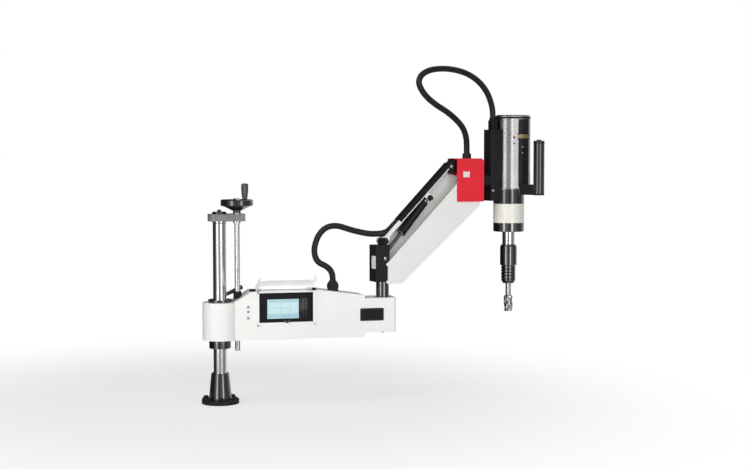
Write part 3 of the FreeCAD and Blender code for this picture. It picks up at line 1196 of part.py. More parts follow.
# Head
def head_block():
    outline = [(HEAD_LEFT_H, HEAD_LOW_Z), (HEAD_RIGHT_H, HEAD_LOW_Z),
               (HEAD_RIGHT_H, HEAD_TOP_Z - HEAD_CHAMFER), (HEAD_RIGHT_H - HEAD_CHAMFER, HEAD_TOP_Z),
               (HEAD_LEFT_H, HEAD_TOP_Z)]
    body = panel(outline, -HEAD_OUT, HEAD_OUT)
    body = rounded(body, HEAD_EDGE, lambda edge: crossing(edge) and edge.BoundBox.XMin < HEAD_LEFT_H + RUN)
    back = HEAD_RIGHT_H - HEAD_BACK_T
    body = body.cut(brick((HEAD_LEFT_H - OVERRUN, -HEAD_IN, HEAD_LOW_Z - OVERRUN),
                          (back, HEAD_IN, HEAD_TOP_Z - HEAD_WALL)))
    body = body.cut(cross_post(PIN_D, PIVOT_B2_H, PIVOT_B2_Z, HEAD_SKIN - HEAD_OUT, 2 * HEAD_OUT))
    bore = Part.makeCylinder(TILT_STUD_D / 2 + RUN, HEAD_BACK_T + 2 * OVERRUN,
                             at(back - OVERRUN, 0, TILT_Z), at(1, 0, 0))
    body = body.cut(bore)
    hose_hole = HOSE_D - 2 * BOX_WALL
    gland = post(HEAD_GLAND_D, HEAD_TOP_Z - RUN, HEAD_GLAND_TOP_Z, HEAD_GLAND_H)
    body = body.fuse(gland).removeSplitter()
    return body.cut(post(hose_hole, HEAD_TOP_Z - 2 * HEAD_WALL, HEAD_GLAND_TOP_Z + OVERRUN, HEAD_GLAND_H))


def head_clevis():
    low_z = PIVOT_B1_Z - CLEVIS_LOW_DROP
    high_z = PIVOT_B1_Z + CLEVIS_HIGH_RISE
    back = HEAD_RIGHT_H - HEAD_BACK_T
    outline = [(PIVOT_B1_H, low_z), (back, low_z), (back, high_z), (PIVOT_B1_H + CLEVIS_CHAMFER, high_z),
               (PIVOT_B1_H, high_z - CLEVIS_CHAMFER)]
    body = panel(outline, -CLEVIS_HALF_W, CLEVIS_HALF_W)
    eye = cross_post(CLEVIS_EYE_D, PIVOT_B1_H, PIVOT_B1_Z, -CLEVIS_HALF_W, CLEVIS_HALF_W)
    body = body.fuse(eye).removeSplitter()
    body = body.cut(brick((HEAD_LEFT_H, -2 * HEAD_OUT, HEAD_TOP_Z - HEAD_WALL),
                          (HEAD_RIGHT_H, 2 * HEAD_OUT, HEAD_TOP_Z + CLEVIS_HIGH_RISE)))
    channel = post(HOSE_D, low_z - OVERRUN, high_z + OVERRUN, HEAD_GLAND_H)
    body = body.cut(channel)
    return body.cut(cross_post(PIN_D, PIVOT_B1_H, PIVOT_B1_Z, -2 * HEAD_OUT, 2 * HEAD_OUT))


def head_pins():
    bar_out = BAR_HALF_GAP + BAR_T + GAP
    upper = headed_pin(PIN_D, PIVOT_B1_H, PIVOT_B1_Z, bar_out, PIN_HEAD_D, BUSH_FLANGE_T)
    lower = cross_post(PIN_D, PIVOT_B2_H, PIVOT_B2_Z, HEAD_SKIN - HEAD_OUT, HEAD_OUT)
    return group([upper, lower])


def motor_mount():
    left = MOUNT_LEFT_H
    body = brick((left, -MOUNT_HALF_W, MOUNT_LOW_Z), (SPINDLE_H, MOUNT_HALF_W, MOUNT_TOP_Z))
    body = rounded(body, MOUNT_EDGE, lambda edge: upright(edge) and edge.BoundBox.XMin < left + RUN)
    stud_back = HEAD_RIGHT_H - HEAD_BACK_T
    stud = Part.makeCylinder(TILT_STUD_D / 2, left - stud_back + TILT_STUD_LENGTH,
                             at(stud_back - TILT_STUD_LENGTH, 0, TILT_Z), at(1, 0, 0))
    flange = Part.makeCylinder(TILT_FLANGE_D / 2, TILT_FLANGE_T,
                               at(stud_back - GAP - TILT_FLANGE_T, 0, TILT_Z), at(1, 0, 0))
    boss = Part.makeCylinder(MOUNT_BOSS_D / 2, MOUNT_SET_OFF - TILT_GAP,
                             at(HEAD_RIGHT_H + TILT_GAP, 0, TILT_Z), at(1, 0, 0))
    body = body.fuse([stud, flange, boss])
    return body.cut(motor_outer(0)).removeSplitter()


def motor_outer(edge):
    height = MOTOR_TOP_Z - MOTOR_LOW_Z
    near = Part.makeCylinder(MOTOR_R, height, at(SPINDLE_H, 0, MOTOR_LOW_Z))
    pod_h = SPINDLE_H + MOTOR_POD_H
    far = Part.makeCylinder(MOTOR_R, height, at(pod_h, MOTOR_POD_N, MOTOR_LOW_Z))
    reach = math.hypot(MOTOR_POD_H, MOTOR_POD_N)
    slab = Part.makeBox(reach, 2 * MOTOR_R, height, at(SPINDLE_H, -MOTOR_R, MOTOR_LOW_Z))
    slab.rotate(at(SPINDLE_H, 0, 0), at(0, 0, 1), math.degrees(math.atan2(MOTOR_POD_N, MOTOR_POD_H)))
    body = near.fuse([far, slab]).removeSplitter()
    if edge > 0:
        top = [e for e in body.Edges if e.BoundBox.ZMin > MOTOR_TOP_Z - RUN]
        body = body.makeFillet(edge, top)
    collar = post(MOTOR_COLLAR_D, MOTOR_COLLAR_LOW_Z, MOTOR_LOW_Z, SPINDLE_H)
    return body.fuse(collar).removeSplitter()


def motor_housing():
    body = motor_outer(MOTOR_EDGE)
    cavity = post(2 * MOTOR_CAVITY_R, MOTOR_CAVITY_LOW_Z, MOTOR_CAVITY_TOP_Z, SPINDLE_H)
    shaft = post(ROTOR_SHAFT_D + 2 * RUN, ROTOR_SHAFT_LOW_Z - GAP, ROTOR_SHAFT_TOP_Z + GAP, SPINDLE_H)
    return body.cut(cavity).cut(shaft)


def motor_rotor():
    shaft = post(ROTOR_SHAFT_D, ROTOR_SHAFT_LOW_Z, ROTOR_SHAFT_TOP_Z, SPINDLE_H)
    return shaft.fuse(post(ROTOR_D, ROTOR_LOW_Z, ROTOR_TOP_Z, SPINDLE_H)).removeSplitter()


def motor_connector():
    body = brick((PLUG_LEFT_H, -PLUG_HALF_W, MOUNT_TOP_Z), (PLUG_RIGHT_H, PLUG_HALF_W, PLUG_TOP_Z))
    body = rounded(body, PLUG_EDGE, upright)
    gland = post(PLUG_GLAND_D, MOUNT_TOP_Z, PLUG_GLAND_TOP_Z, PLUG_GLAND_H)
    body = body.fuse(gland).removeSplitter()
    body = body.cut(motor_outer(0))
    return body.cut(post(HOSE_D - 2 * BOX_WALL, PLUG_TOP_Z - 2 * OVERRUN, PLUG_GLAND_TOP_Z + OVERRUN,
                         PLUG_GLAND_H))


def gearbox_housing():
    return sleeve(GEARBOX_D, GEARBOX_BORE_D, GEARBOX_LOW_Z, MOTOR_COLLAR_LOW_Z, SPINDLE_H)


def gearbox_ring():
    body = post(SEAL_RING_D, SEAL_RING_LOW_Z, GEARBOX_LOW_Z, SPINDLE_H)
    body = rounded(body, SEAL_RING_EDGE, circles_at(SEAL_RING_LOW_Z, SEAL_RING_D / 2))
    return body.cut(post(SPINDLE_D + 2 * RUN, SEAL_RING_LOW_Z - OVERRUN, GEARBOX_LOW_Z + OVERRUN,
                         SPINDLE_H))


def handle_bar():
    grip = post(HANDLE_D, HANDLE_LOW_Z, HANDLE_TOP_Z, HANDLE_H, HANDLE_N)
    grip = rounded(grip, HANDLE_EDGE, circles_at(HANDLE_TOP_Z, HANDLE_D / 2))
    grip = rounded(grip, HANDLE_EDGE, circles_at(HANDLE_LOW_Z, HANDLE_D / 2))
    reach = math.hypot(HANDLE_H - SPINDLE_H, HANDLE_N)
    bar = Part.makeBox(reach, HANDLE_BAR_W, HANDLE_BAR_TOP_Z - HANDLE_BAR_LOW_Z,
                       at(SPINDLE_H, -HANDLE_BAR_W / 2, HANDLE_BAR_LOW_Z))
    bar.rotate(at(SPINDLE_H, 0, 0), at(0, 0, 1), math.degrees(math.atan2(HANDLE_N, HANDLE_H - SPINDLE_H)))
    body = grip.fuse(bar).cut(motor_outer(0)).removeSplitter()
    return body.cut(post(BUTTON_D + 2 * GAP, HANDLE_TOP_Z - BUTTON_SEAT - BUTTON_RISE,
                         HANDLE_TOP_Z + OVERRUN, HANDLE_H, HANDLE_N))


def handle_button():
    top = HANDLE_TOP_Z + BUTTON_RISE
    body = post(BUTTON_D, HANDLE_TOP_Z - BUTTON_SEAT, top, HANDLE_H, HANDLE_N)
    return rounded(body, BUTTON_EDGE, circles_at(top, BUTTON_D / 2))


# Spindle
def spindle():
    body = post(SPINDLE_D, SPINDLE_NECK_LOW_Z, SPINDLE_TOP_Z - GAP, SPINDLE_H)
    return body.cut(post(SPINDLE_BORE_D, SPINDLE_NECK_LOW_Z - OVERRUN, SPINDLE_BORE_DEPTH_Z, SPINDLE_H))


def chuck_body():
    body = post(CHUCK_CORE_D, CHUCK_CORE_LOW_Z, SPINDLE_NECK_LOW_Z, SPINDLE_H)
    shank = post(SPINDLE_BORE_D, SPINDLE_NECK_LOW_Z, SPINDLE_BORE_DEPTH_Z, SPINDLE_H)
    body = body.fuse(shank).removeSplitter()
    return body.cut(post(CHUCK_BORE_D, CHUCK_CORE_LOW_Z - OVERRUN, CHUCK_BORE_TOP_Z, SPINDLE_H))


def chuck_sleeve():
    half = SLEEVE_D / 2
    bore = CHUCK_CORE_D / 2 + RUN
    return turned([(bore, SLEEVE_LOW_Z), (half - SLEEVE_EDGE / 2, SLEEVE_LOW_Z),
                   (half, SLEEVE_LOW_Z + SLEEVE_EDGE / 2), (half, SLEEVE_TOP_Z - 2 * SLEEVE_EDGE),
                   (half - SLEEVE_EDGE, SLEEVE_TOP_Z), (bore, SLEEVE_TOP_Z)], SPINDLE_H)


def tap_adapter():
    half = ADAPTER_D / 2
    profile = [(0, ADAPTER_LOW_Z), (ADAPTER_TAPER_D / 2, ADAPTER_LOW_Z),
               (half, ADAPTER_LOW_Z + ADAPTER_TAPER_H)]
    first = ADAPTER_LOW_Z + ADAPTER_TAPER_H + ADAPTER_GROOVE_W
    pitch = (ADAPTER_TOP_Z - first) / ADAPTER_GROOVE_COUNT
    for step in range(ADAPTER_GROOVE_COUNT):
        low = first + pitch * step
        profile.extend([(half, low), (half - ADAPTER_GROOVE_DEPTH, low),
                        (half - ADAPTER_GROOVE_DEPTH, low + ADAPTER_GROOVE_W),
                        (half, low + ADAPTER_GROOVE_W)])
    profile.extend([(half, ADAPTER_TOP_Z), (CHUCK_BORE_D / 2, ADAPTER_TOP_Z),
                    (CHUCK_BORE_D / 2, ADAPTER_SHANK_TOP_Z), (0, ADAPTER_SHANK_TOP_Z)])
    body = turned(profile, SPINDLE_H)
    return body.cut(post(TAP_SHANK_D, ADAPTER_LOW_Z - OVERRUN, TAP_SOCKET_TOP_Z, SPINDLE_H))


def tap():
    body = turned([(0, TAP_LOW_Z), (TAP_LEAD_D / 2, TAP_LOW_Z), (TAP_D / 2, TAP_LOW_Z + TAP_LEAD_H),
                   (TAP_D / 2, TAP_TOP_Z), (TAP_SHANK_D / 2, TAP_TOP_Z + TAP_NECK_H),
                   (TAP_SHANK_D / 2, TAP_SOCKET_TOP_Z), (0, TAP_SOCKET_TOP_Z)], SPINDLE_H)
    for step in range(TAP_FLUTE_COUNT):
        angle = math.radians(360 / TAP_FLUTE_COUNT * (step + 0.5))
        x = SPINDLE_H + TAP_D / 2 * math.cos(angle)
        y = TAP_D / 2 * math.sin(angle)
        body = body.cut(post(TAP_FLUTE_D, TAP_LOW_Z - OVERRUN, TAP_TOP_Z, x, y))
    return body


# Hoses
def hose(name, points):
    places = [at(*point) for point in points]
    edges = []
    start = places[0]
    radii = []
    for before, corner, after in zip(places, places[1:], places[2:]):
        arrive = (corner - before).normalize()
        leave = (after - corner).normalize()
        turn = arrive.getAngle(leave)
        run = min((corner - before).Length, (after - corner).Length)
        trim = HOSE_BEND_SHARE * run
        radius = trim / math.tan(turn / 2)
        radii.append(radius)
        first = corner - arrive * trim
        last = corner + leave * trim
        inward = (leave - arrive).normalize()
        middle = corner + inward * (math.hypot(radius, trim) - radius)
        edges.append(Part.LineSegment(start, first).toShape())
        edges.append(Part.Arc(first, middle, last).toShape())
        start = last
    edges.append(Part.LineSegment(start, places[-1]).toShape())
    path = Part.Wire(edges)
    ring = Part.Wire([Part.makeCircle(HOSE_D / 2, places[0], places[1] - places[0])])
    tube = path.makePipeShell([ring], True, False)
    expected = math.pi * HOSE_D ** 2 / 4 * path.Length
    print(name, "length", round(path.Length, 1), "radii", [round(value) for value in radii],
          "volume ratio", round(tube.Volume / expected, 4))
    return tube


def main():
    os.makedirs("parts", exist_ok=True)
    row_pieces = (base_flange, column_socket, column, bearing_cap, cap_bolt, top_bracket,
                  bracket_bushes, lead_screw, handwheel, grip_axle, crank_grip, hub_housing,
                  guide_bushes, lower_collar, clamp_collar, clamp_lever, beam_housing, rear_cover,
                  housing_screws, beam_frame, lift_nut, servo_drive, screen_tray, touch_screen,
                  screen_frame, cover_hinge, screen_cover, indicator_lamps, cable_gland,
                  end_housing, post_bearings)
    for piece in row_pieces:
        save(piece.__name__, piece())
    arm_pieces = (pivot_block, pivot_pins, lower_link, lower_link_bushes, upper_link, arm_duct,
                  strut_cylinder, strut_rod, head_block, head_clevis, head_pins, motor_mount,
                  motor_housing, motor_rotor, motor_connector, gearbox_housing, gearbox_ring,
                  handle_bar, handle_button, spindle, chuck_body, chuck_sleeve, tap_adapter, tap,
                  arm_post, post_bolt)
    for piece in arm_pieces:
        save(piece.__name__, head_up(piece()))
    save("lower_hose", hose("lower_hose", LOWER_HOSE_POINTS))
    save("hose_tail", hose("hose_tail", HOSE_TAIL_POINTS))
    save("upper_hose", hose("upper_hose", UPPER_HOSE_POINTS))


main()
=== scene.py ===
import json
import math

import bmesh
import bpy
from mathutils import Matrix, Vector

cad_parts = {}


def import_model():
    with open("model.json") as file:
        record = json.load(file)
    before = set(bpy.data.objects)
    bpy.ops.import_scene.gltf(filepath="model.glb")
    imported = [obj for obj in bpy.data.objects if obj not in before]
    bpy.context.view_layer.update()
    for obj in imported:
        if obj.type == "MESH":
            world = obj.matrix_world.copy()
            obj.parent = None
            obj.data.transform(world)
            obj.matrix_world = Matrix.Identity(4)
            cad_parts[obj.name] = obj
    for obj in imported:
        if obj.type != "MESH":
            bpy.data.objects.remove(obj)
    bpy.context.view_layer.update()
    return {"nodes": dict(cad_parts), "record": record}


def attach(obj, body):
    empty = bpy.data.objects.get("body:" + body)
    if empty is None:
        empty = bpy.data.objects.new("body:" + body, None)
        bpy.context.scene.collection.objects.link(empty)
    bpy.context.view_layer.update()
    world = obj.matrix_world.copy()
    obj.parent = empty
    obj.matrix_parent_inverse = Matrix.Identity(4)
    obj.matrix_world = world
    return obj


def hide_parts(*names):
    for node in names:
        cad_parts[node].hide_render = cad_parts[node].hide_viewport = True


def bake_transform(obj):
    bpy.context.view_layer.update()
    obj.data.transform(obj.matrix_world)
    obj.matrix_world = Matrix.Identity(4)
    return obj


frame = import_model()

MM = 0.001

# Camera: the photograph's viewing angle
CAMERA_PLACE = (-0.706, -5.258, 0.954)
CAMERA_AZIMUTH = math.radians(14.0)
CAMERA_PITCH = math.radians(3.4)
FOCAL_PIXELS = 1400.0
IMAGE_WIDTH = 750.0
SENSOR = 36.0

# The arm's own frame, in millimetres: H along its heading from the post's axis, N across it, Z up.
# A1 and B1 are the upper link's pivots and STRUT_LOW and STRUT_TOP the strut's ends, as (H, Z).
ARM_HEADING = math.radians(11.0)
POST_X = 635.0
LINK = 408.0
A1 = (0.0, 606.0)
B1 = (A1[0] + LINK / math.sqrt(2), A1[1] + LINK / math.sqrt(2))
STRUT_LOW = (-2.0, 540.0)
STRUT_TOP = (194.3, 771.7)
ARM = Matrix.Translation((POST_X * MM, 0, 0)) @ Matrix.Rotation(ARM_HEADING, 4, "Z")
ROW = Matrix.Identity(4)
SPINDLE_H = 565.0

# Hoses: diameter and each route's points in millimetres. The steps are those of its curves.
HOSE_D = 23.5
ROUTE_STEPS = 10
ROUND_STEPS = 7
LOWER_HOSE = (
    (437, 0, 458.3), (437, 0, 480), (428, 13, 501), (411, 27, 514), (393, 40, 522), (382, 52, 537),
    (378, 62, 557), (379, 69, 579), (387, 72, 608), (401, 70, 636), (421, 64, 656), (444, 56, 665),
    (470, 48, 665), (498, 38, 656), (528, 26, 646), (556, 15, 640))
HOSE_TAIL = (
    (556, 15, 640), (581.2, 5.1, 634.6), (610, -1, 634.5), (640, -2, 637), (664.9, 5.8, 648.4),
    (698.3, 12.3, 682.5))
UPPER_HOSE = (
    (999, 71, 944.3), (999, 71, 974), (994, 61, 1010), (976, 48, 1048), (940, 29, 1081),
    (893, 5, 1111), (847, -16, 1133), (802, -35, 1163), (774, -46, 1196), (765, -48, 1223),
    (779, -44, 1250), (815, -32, 1268), (861, -15, 1275), (911, 3, 1275), (967, 24, 1266),
    (1013, 42, 1249), (1054, 59, 1222), (1085, 74, 1188), (1104, 86, 1152), (1115, 93, 1118),
    (1115, 93, 1088.3))


# Camera
def make_camera():
    data = bpy.data.cameras.new("camera")
    data.sensor_width = SENSOR
    data.lens = FOCAL_PIXELS / IMAGE_WIDTH * SENSOR
    data.clip_end = 100.0
    camera = bpy.data.objects.new("camera", data)
    bpy.context.scene.collection.objects.link(camera)
    way = Vector((math.sin(CAMERA_AZIMUTH) * math.cos(CAMERA_PITCH),
                  math.cos(CAMERA_AZIMUTH) * math.cos(CAMERA_PITCH), -math.sin(CAMERA_PITCH)))
    camera.location = CAMERA_PLACE
    camera.rotation_euler = way.to_track_quat("-Z", "Y").to_euler()
    bpy.context.scene.camera = camera


make_camera()


# Materials
def new_material(name):
    made = bpy.data.materials.new(name)
    made.use_nodes = True
    nodes = made.node_tree.nodes
    shader = nodes["Principled BSDF"]
    return made, nodes, made.node_tree.links, shader


def shifted(colour, factor):
    return tuple(min(1.0, value * factor) for value in colour[:3]) + (1.0,)


def two_tones(nodes, links, source, low, high, start=0.0, end=1.0):
    """A colour that goes from low to high as source goes from start to end."""
    tone = nodes.new("ShaderNodeValToRGB")
    for element, position, colour in zip(tone.color_ramp.elements, (start, end), (low, high)):
        element.position = position
        element.color = colour
    links.new(source, tone.inputs["Fac"])
    return tone.outputs["Color"]


def between(nodes, links, source, low, high):
    """A value that goes from low to high as source goes from 0 to 1."""
    share = nodes.new("ShaderNodeMapRange")
    share.inputs["To Min"].default_value = low
    share.inputs["To Max"].default_value = high
    links.new(source, share.inputs["Value"])
    return share.outputs["Result"]


def worked_out(nodes, links, operation, first, second):
    """The result of a math operation on two sockets, or on a socket and a number."""
    made = nodes.new("ShaderNodeMath")
    made.operation = operation
    for place, value in zip(made.inputs, (first, second)):
        if isinstance(value, float):
            place.default_value = value
        else:
            links.new(value, place)
    return made.outputs["Value"]


COAT_ROUGHNESS = 0.08
BROAD_SCALE = 9.0
BROAD_DETAIL = 5.0
BROAD_SPAN = (0.3, 0.7)
LEAST_ROUGHNESS = 0.02
BEVEL_SAMPLES = 4


def surface(name, colour, rough, metal=0.0, coat=0.0, grain=900.0, bump=0.08, spread=(0.94, 1.04),
            rough_spread=0.08, stretch=(1, 1, 1), cells=False, edge=0.0006, level=0.5, depth=0.0002,
            coat_ior=1.5):
    made, nodes, links, shader = new_material(name)
    shader.inputs["Metallic"].default_value = metal
    shader.inputs["Coat Weight"].default_value = coat
    shader.inputs["Coat Roughness"].default_value = COAT_ROUGHNESS
    shader.inputs["Coat IOR"].default_value = coat_ior
    shader.inputs["Specular IOR Level"].default_value = level
    where = nodes.new("ShaderNodeTexCoord")
    mapping = nodes.new("ShaderNodeMapping")
    mapping.inputs["Scale"].default_value = stretch
    links.new(where.outputs["Object"], mapping.inputs["Vector"])
    fine = nodes.new("ShaderNodeTexVoronoi" if cells else "ShaderNodeTexNoise")
    fine.inputs["Scale"].default_value = grain
    links.new(mapping.outputs["Vector"], fine.inputs["Vector"])
    broad = nodes.new("ShaderNodeTexNoise")
    broad.inputs["Scale"].default_value = BROAD_SCALE
    broad.inputs["Detail"].default_value = BROAD_DETAIL
    links.new(mapping.outputs["Vector"], broad.inputs["Vector"])
    tone = two_tones(nodes, links, broad.outputs["Fac"], shifted(colour, spread[0]),
                     shifted(colour, spread[1]), *BROAD_SPAN)
    links.new(tone, shader.inputs["Base Color"])
    grains = fine.outputs["Distance" if cells else "Fac"]
    gloss = between(nodes, links, grains, max(LEAST_ROUGHNESS, rough - rough_spread),
                    min(1.0, rough + rough_spread))
    links.new(gloss, shader.inputs["Roughness"])
    relief = nodes.new("ShaderNodeBump")
    relief.inputs["Strength"].default_value = bump
    relief.inputs["Distance"].default_value = depth
    links.new(grains, relief.inputs["Height"])
    if edge:
        bevel = nodes.new("ShaderNodeBevel")
        bevel.samples = BEVEL_SAMPLES
        bevel.inputs["Radius"].default_value = edge
        links.new(bevel.outputs["Normal"], relief.inputs["Normal"])
    links.new(relief.outputs["Normal"], shader.inputs["Normal"])
    return made


RINGS = (1, 1, 60)
MATERIALS = {
    "white_paint": surface("white_paint", (0.86, 0.855, 0.835), 0.45, grain=1500, bump=0.08,
                           spread=(0.97, 1.01), edge=0.0012, level=0.4),
    "socket_black": surface("socket_black", (0.010, 0.010, 0.012), 0.2, coat=1.0, bump=0.02,
                            spread=(0.8, 1.3), edge=0.001, level=0.3, coat_ior=1.8),
    "ground_steel": surface("ground_steel", (0.72, 0.72, 0.72), 0.13, metal=1.0, grain=700, bump=0.01,
                            stretch=RINGS, rough_spread=0.04, spread=(0.98, 1.01)),
    "black_chrome": surface("black_chrome", (0.15, 0.15, 0.155), 0.12, metal=1.0, grain=700, bump=0.01,
                            stretch=RINGS, rough_spread=0.04),
    "dark_steel": surface("dark_steel", (0.085, 0.085, 0.09), 0.28, metal=1.0, grain=600, bump=0.03,
                          stretch=RINGS),
    "bright_steel": surface("bright_steel", (0.60, 0.60, 0.61), 0.2, metal=1.0, grain=500, bump=0.03,
                            stretch=RINGS),
    "hammered_grey": surface("hammered_grey", (0.20, 0.20, 0.205), 0.36, metal=0.2, coat=0.25, grain=300,
                             bump=0.9, cells=True, edge=0.0015, depth=0.0007, spread=(0.75, 1.25)),
    "wheel_black": surface("wheel_black", (0.010, 0.010, 0.012), 0.24, coat=0.9, bump=0.02,
                           spread=(0.8, 1.3), edge=0.001, level=0.3, coat_ior=1.7),
    "black_plastic": surface("black_plastic", (0.011, 0.011, 0.013), 0.55, grain=2200, bump=0.12,
                             spread=(0.85, 1.2), edge=0.001, level=0.16),
    "black_paint": surface("black_paint", (0.011, 0.011, 0.013), 0.45, grain=1400, bump=0.08,
                           spread=(0.85, 1.2), edge=0.001, level=0.22),
    "red_paint": surface("red_paint", (0.80, 0.020, 0.038), 0.38, grain=1400, bump=0.08, coat=0.1,
                         spread=(0.95, 1.04), edge=0.0014, level=0.35),
    "bronze": surface("bronze", (0.52, 0.33, 0.14), 0.3, metal=1.0, grain=500, bump=0.06, stretch=RINGS),
    "lamp_grey": surface("lamp_grey", (0.30, 0.305, 0.32), 0.25, coat=0.4, bump=0.03),
    "motor_black": surface("motor_black", (0.36, 0.36, 0.355), 0.33, metal=1.0, grain=1200, bump=0.01,
                           spread=(0.92, 1.06), edge=0.001, rough_spread=0.04),
    "cream_paint": surface("cream_paint", (0.88, 0.865, 0.79), 0.3, coat=0.2, grain=1200, bump=0.04,
                           spread=(0.97, 1.01)),
    "drive_grey": surface("drive_grey", (0.3, 0.31, 0.32), 0.5, grain=1500, bump=0.15),
    "rubber_black": surface("rubber_black", (0.011, 0.011, 0.013), 0.42, grain=1600, bump=0.14,
                            spread=(0.8, 1.25), edge=0, level=0.3),
    "tap_steel": surface("tap_steel", (0.50, 0.47, 0.45), 0.17, metal=1.0, grain=500, bump=0.02,
                         spread=(0.9, 1.08)),
    "gold_band": surface("gold_band", (0.30, 0.23, 0.10), 0.34, metal=0.5, grain=900, bump=0.04),
    "label_white": surface("label_white", (0.80, 0.78, 0.77), 0.4, grain=1500, bump=0.05,
                           spread=(0.97, 1.01)),
}


SCREEN_GLOW = 0.22
SCREEN_SPAN = (0.35, 0.7)
# Painted light: the flip cover glows a little, though it is no lamp, so that it looks brighter.
COVER_PAINTED_GLOW = 0.2
COVER_LOW = (0.86, 0.86, 0.85, 1)
COVER_HIGH = (0.92, 0.92, 0.91, 1)
COVER_ROUGHNESS = (0.35, 0.5)


def screen_material(name, low, high):
    made, nodes, links, shader = new_material(name)
    shader.inputs["Roughness"].default_value = 0.3
    shader.inputs["Specular IOR Level"].default_value = 0.2
    shader.inputs["Emission Strength"].default_value = SCREEN_GLOW
    where = nodes.new("ShaderNodeTexCoord")
    glow = nodes.new("ShaderNodeTexNoise")
    glow.inputs["Scale"].default_value = 14.0
    links.new(where.outputs["Object"], glow.inputs["Vector"])
    tone = two_tones(nodes, links, glow.outputs["Fac"], low, high, *SCREEN_SPAN)
    links.new(tone, shader.inputs["Base Color"])
    links.new(tone, shader.inputs["Emission Color"])
    return made


def cover_material():
    made, nodes, links, shader = new_material("clear_cover")
    shader.inputs["Transmission Weight"].default_value = 0.06
    shader.inputs["IOR"].default_value = 1.3
    shader.inputs["Coat Weight"].default_value = 0.2
    where = nodes.new("ShaderNodeTexCoord")
    cloud = nodes.new("ShaderNodeTexNoise")
    cloud.inputs["Scale"].default_value = 12.0
    links.new(where.outputs["Object"], cloud.inputs["Vector"])
    tone = two_tones(nodes, links, cloud.outputs["Fac"], COVER_LOW, COVER_HIGH)
    links.new(tone, shader.inputs["Base Color"])
    # Painted light: the cover's own tone also glows.
    links.new(tone, shader.inputs["Emission Color"])
    shader.inputs["Emission Strength"].default_value = COVER_PAINTED_GLOW
    links.new(between(nodes, links, cloud.outputs["Fac"], *COVER_ROUGHNESS), shader.inputs["Roughness"])
    return made


MATERIALS["screen_glass"] = screen_material("screen_glass", (0.38, 0.55, 0.60, 1), (0.43, 0.58, 0.63, 1))
MATERIALS["screen_pale"] = screen_material("screen_pale", (0.46, 0.62, 0.67, 1), (0.50, 0.65, 0.69, 1))
MATERIALS["screen_deep"] = screen_material("screen_deep", (0.30, 0.50, 0.57, 1), (0.34, 0.53, 0.59, 1))
MATERIALS["clear_cover"] = cover_material()


DRESSED = {"arm_post": "black_chrome", "chuck_sleeve": "black_chrome", "chuck_body": "black_chrome",
           "tap_adapter": "black_chrome", "gearbox_ring": "black_chrome", "strut_rod": "wheel_black",
           "spindle": "ground_steel", "handle_bar": "wheel_black", "handle_button": "black_plastic",
           "pivot_pins": "black_paint", "lower_collar": "black_chrome"}


def dress_nodes():
    slots = {entry["node"]: entry["material_slot"] for entry in frame["record"]["subparts"]}
    slots.update(DRESSED)
    for name, node in frame["nodes"].items():
        node.data.materials.clear()
        node.data.materials.append(MATERIALS[slots[name]])


dress_nodes()


# Pieces
def finish_piece(name, mesh, place, body, slot, material=None, smooth=35.0):
    mesh.transform(Matrix.Scale(MM, 4))
    mesh.transform(place)
    mesh.materials.append(MATERIALS[material or slot])
    mesh.shade_smooth()
    mesh.set_sharp_from_angle(angle=math.radians(smooth))
    piece = bpy.data.objects.new(name, mesh)
    bpy.context.scene.collection.objects.link(piece)
    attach(piece, body)
    return piece


def as_mesh(name, shape):
    bmesh.ops.recalc_face_normals(shape, faces=shape.faces)
    mesh = bpy.data.meshes.new(name)
    shape.to_mesh(mesh)
    shape.free()
    return mesh


def absorb(whole, part):
    """Adds the form part to the form whole and frees it."""
    mesh = bpy.data.meshes.new("part")
    part.to_mesh(mesh)
    part.free()
    whole.from_mesh(mesh)
    bpy.data.meshes.remove(mesh)


def close_loops(made, loops, closed):
    """Faces between each loop of corners and the next one, and from the last to the first if closed."""
    pairs = zip(loops, loops[1:] + loops[:1]) if closed else zip(loops, loops[1:])
    for low, high in pairs:
        for step in range(len(low)):
            after = (step + 1) % len(low)
            made.faces.new((low[step], low[after], high[after], high[step]))


def lathe(profile, steps=64, shape_of=None):
    """A closed turned form round Z from (radius, z) pairs. Its first and last radius are zero or equal."""
    made = bmesh.new()
    rows = []
    for index, (radius, z) in enumerate(profile):
        if radius == 0:
            rows.append([made.verts.new((0, 0, z))])
            continue
        row = []
        for step in range(steps):
            angle = 2 * math.pi * step / steps
            size = radius * (shape_of(angle, index) if shape_of else 1.0)
            row.append(made.verts.new((size * math.cos(angle), size * math.sin(angle), z)))
        rows.append(row)
    for low, high in zip(rows, rows[1:]):
        for step in range(steps):
            after = (step + 1) % steps
            if len(low) == 1 and len(high) == 1:
                continue
            if len(low) == 1:
                made.faces.new((low[0], high[after], high[step]))
            elif len(high) == 1:
                made.faces.new((low[step], low[after], high[0]))
            else:
                made.faces.new((low[step], low[after], high[after], high[step]))
    return made


def ring_closed(profile, steps=64):
    """A turned ring round Z whose profile is a closed loop of (radius, z) pairs."""
    made = bmesh.new()
    rows = [[made.verts.new((r * math.cos(2 * math.pi * s / steps), r * math.sin(2 * math.pi * s / steps), z))
             for s in range(steps)] for r, z in profile]
    close_loops(made, rows, True)
    return made


def rounded_box(low, high, radius, segments=3):
    made = bmesh.new()
    bmesh.ops.create_cube(made, size=1.0)
    size = [high[i] - low[i] for i in range(3)]
    centre = [(high[i] + low[i]) / 2 for i in range(3)]
    for vert in made.verts:
        vert.co = Vector((vert.co[i] * size[i] + centre[i] for i in range(3)))
    bmesh.ops.bevel(made, geom=list(made.edges), offset=radius, segments=segments, affect="EDGES",
                    profile=0.5)
    return made


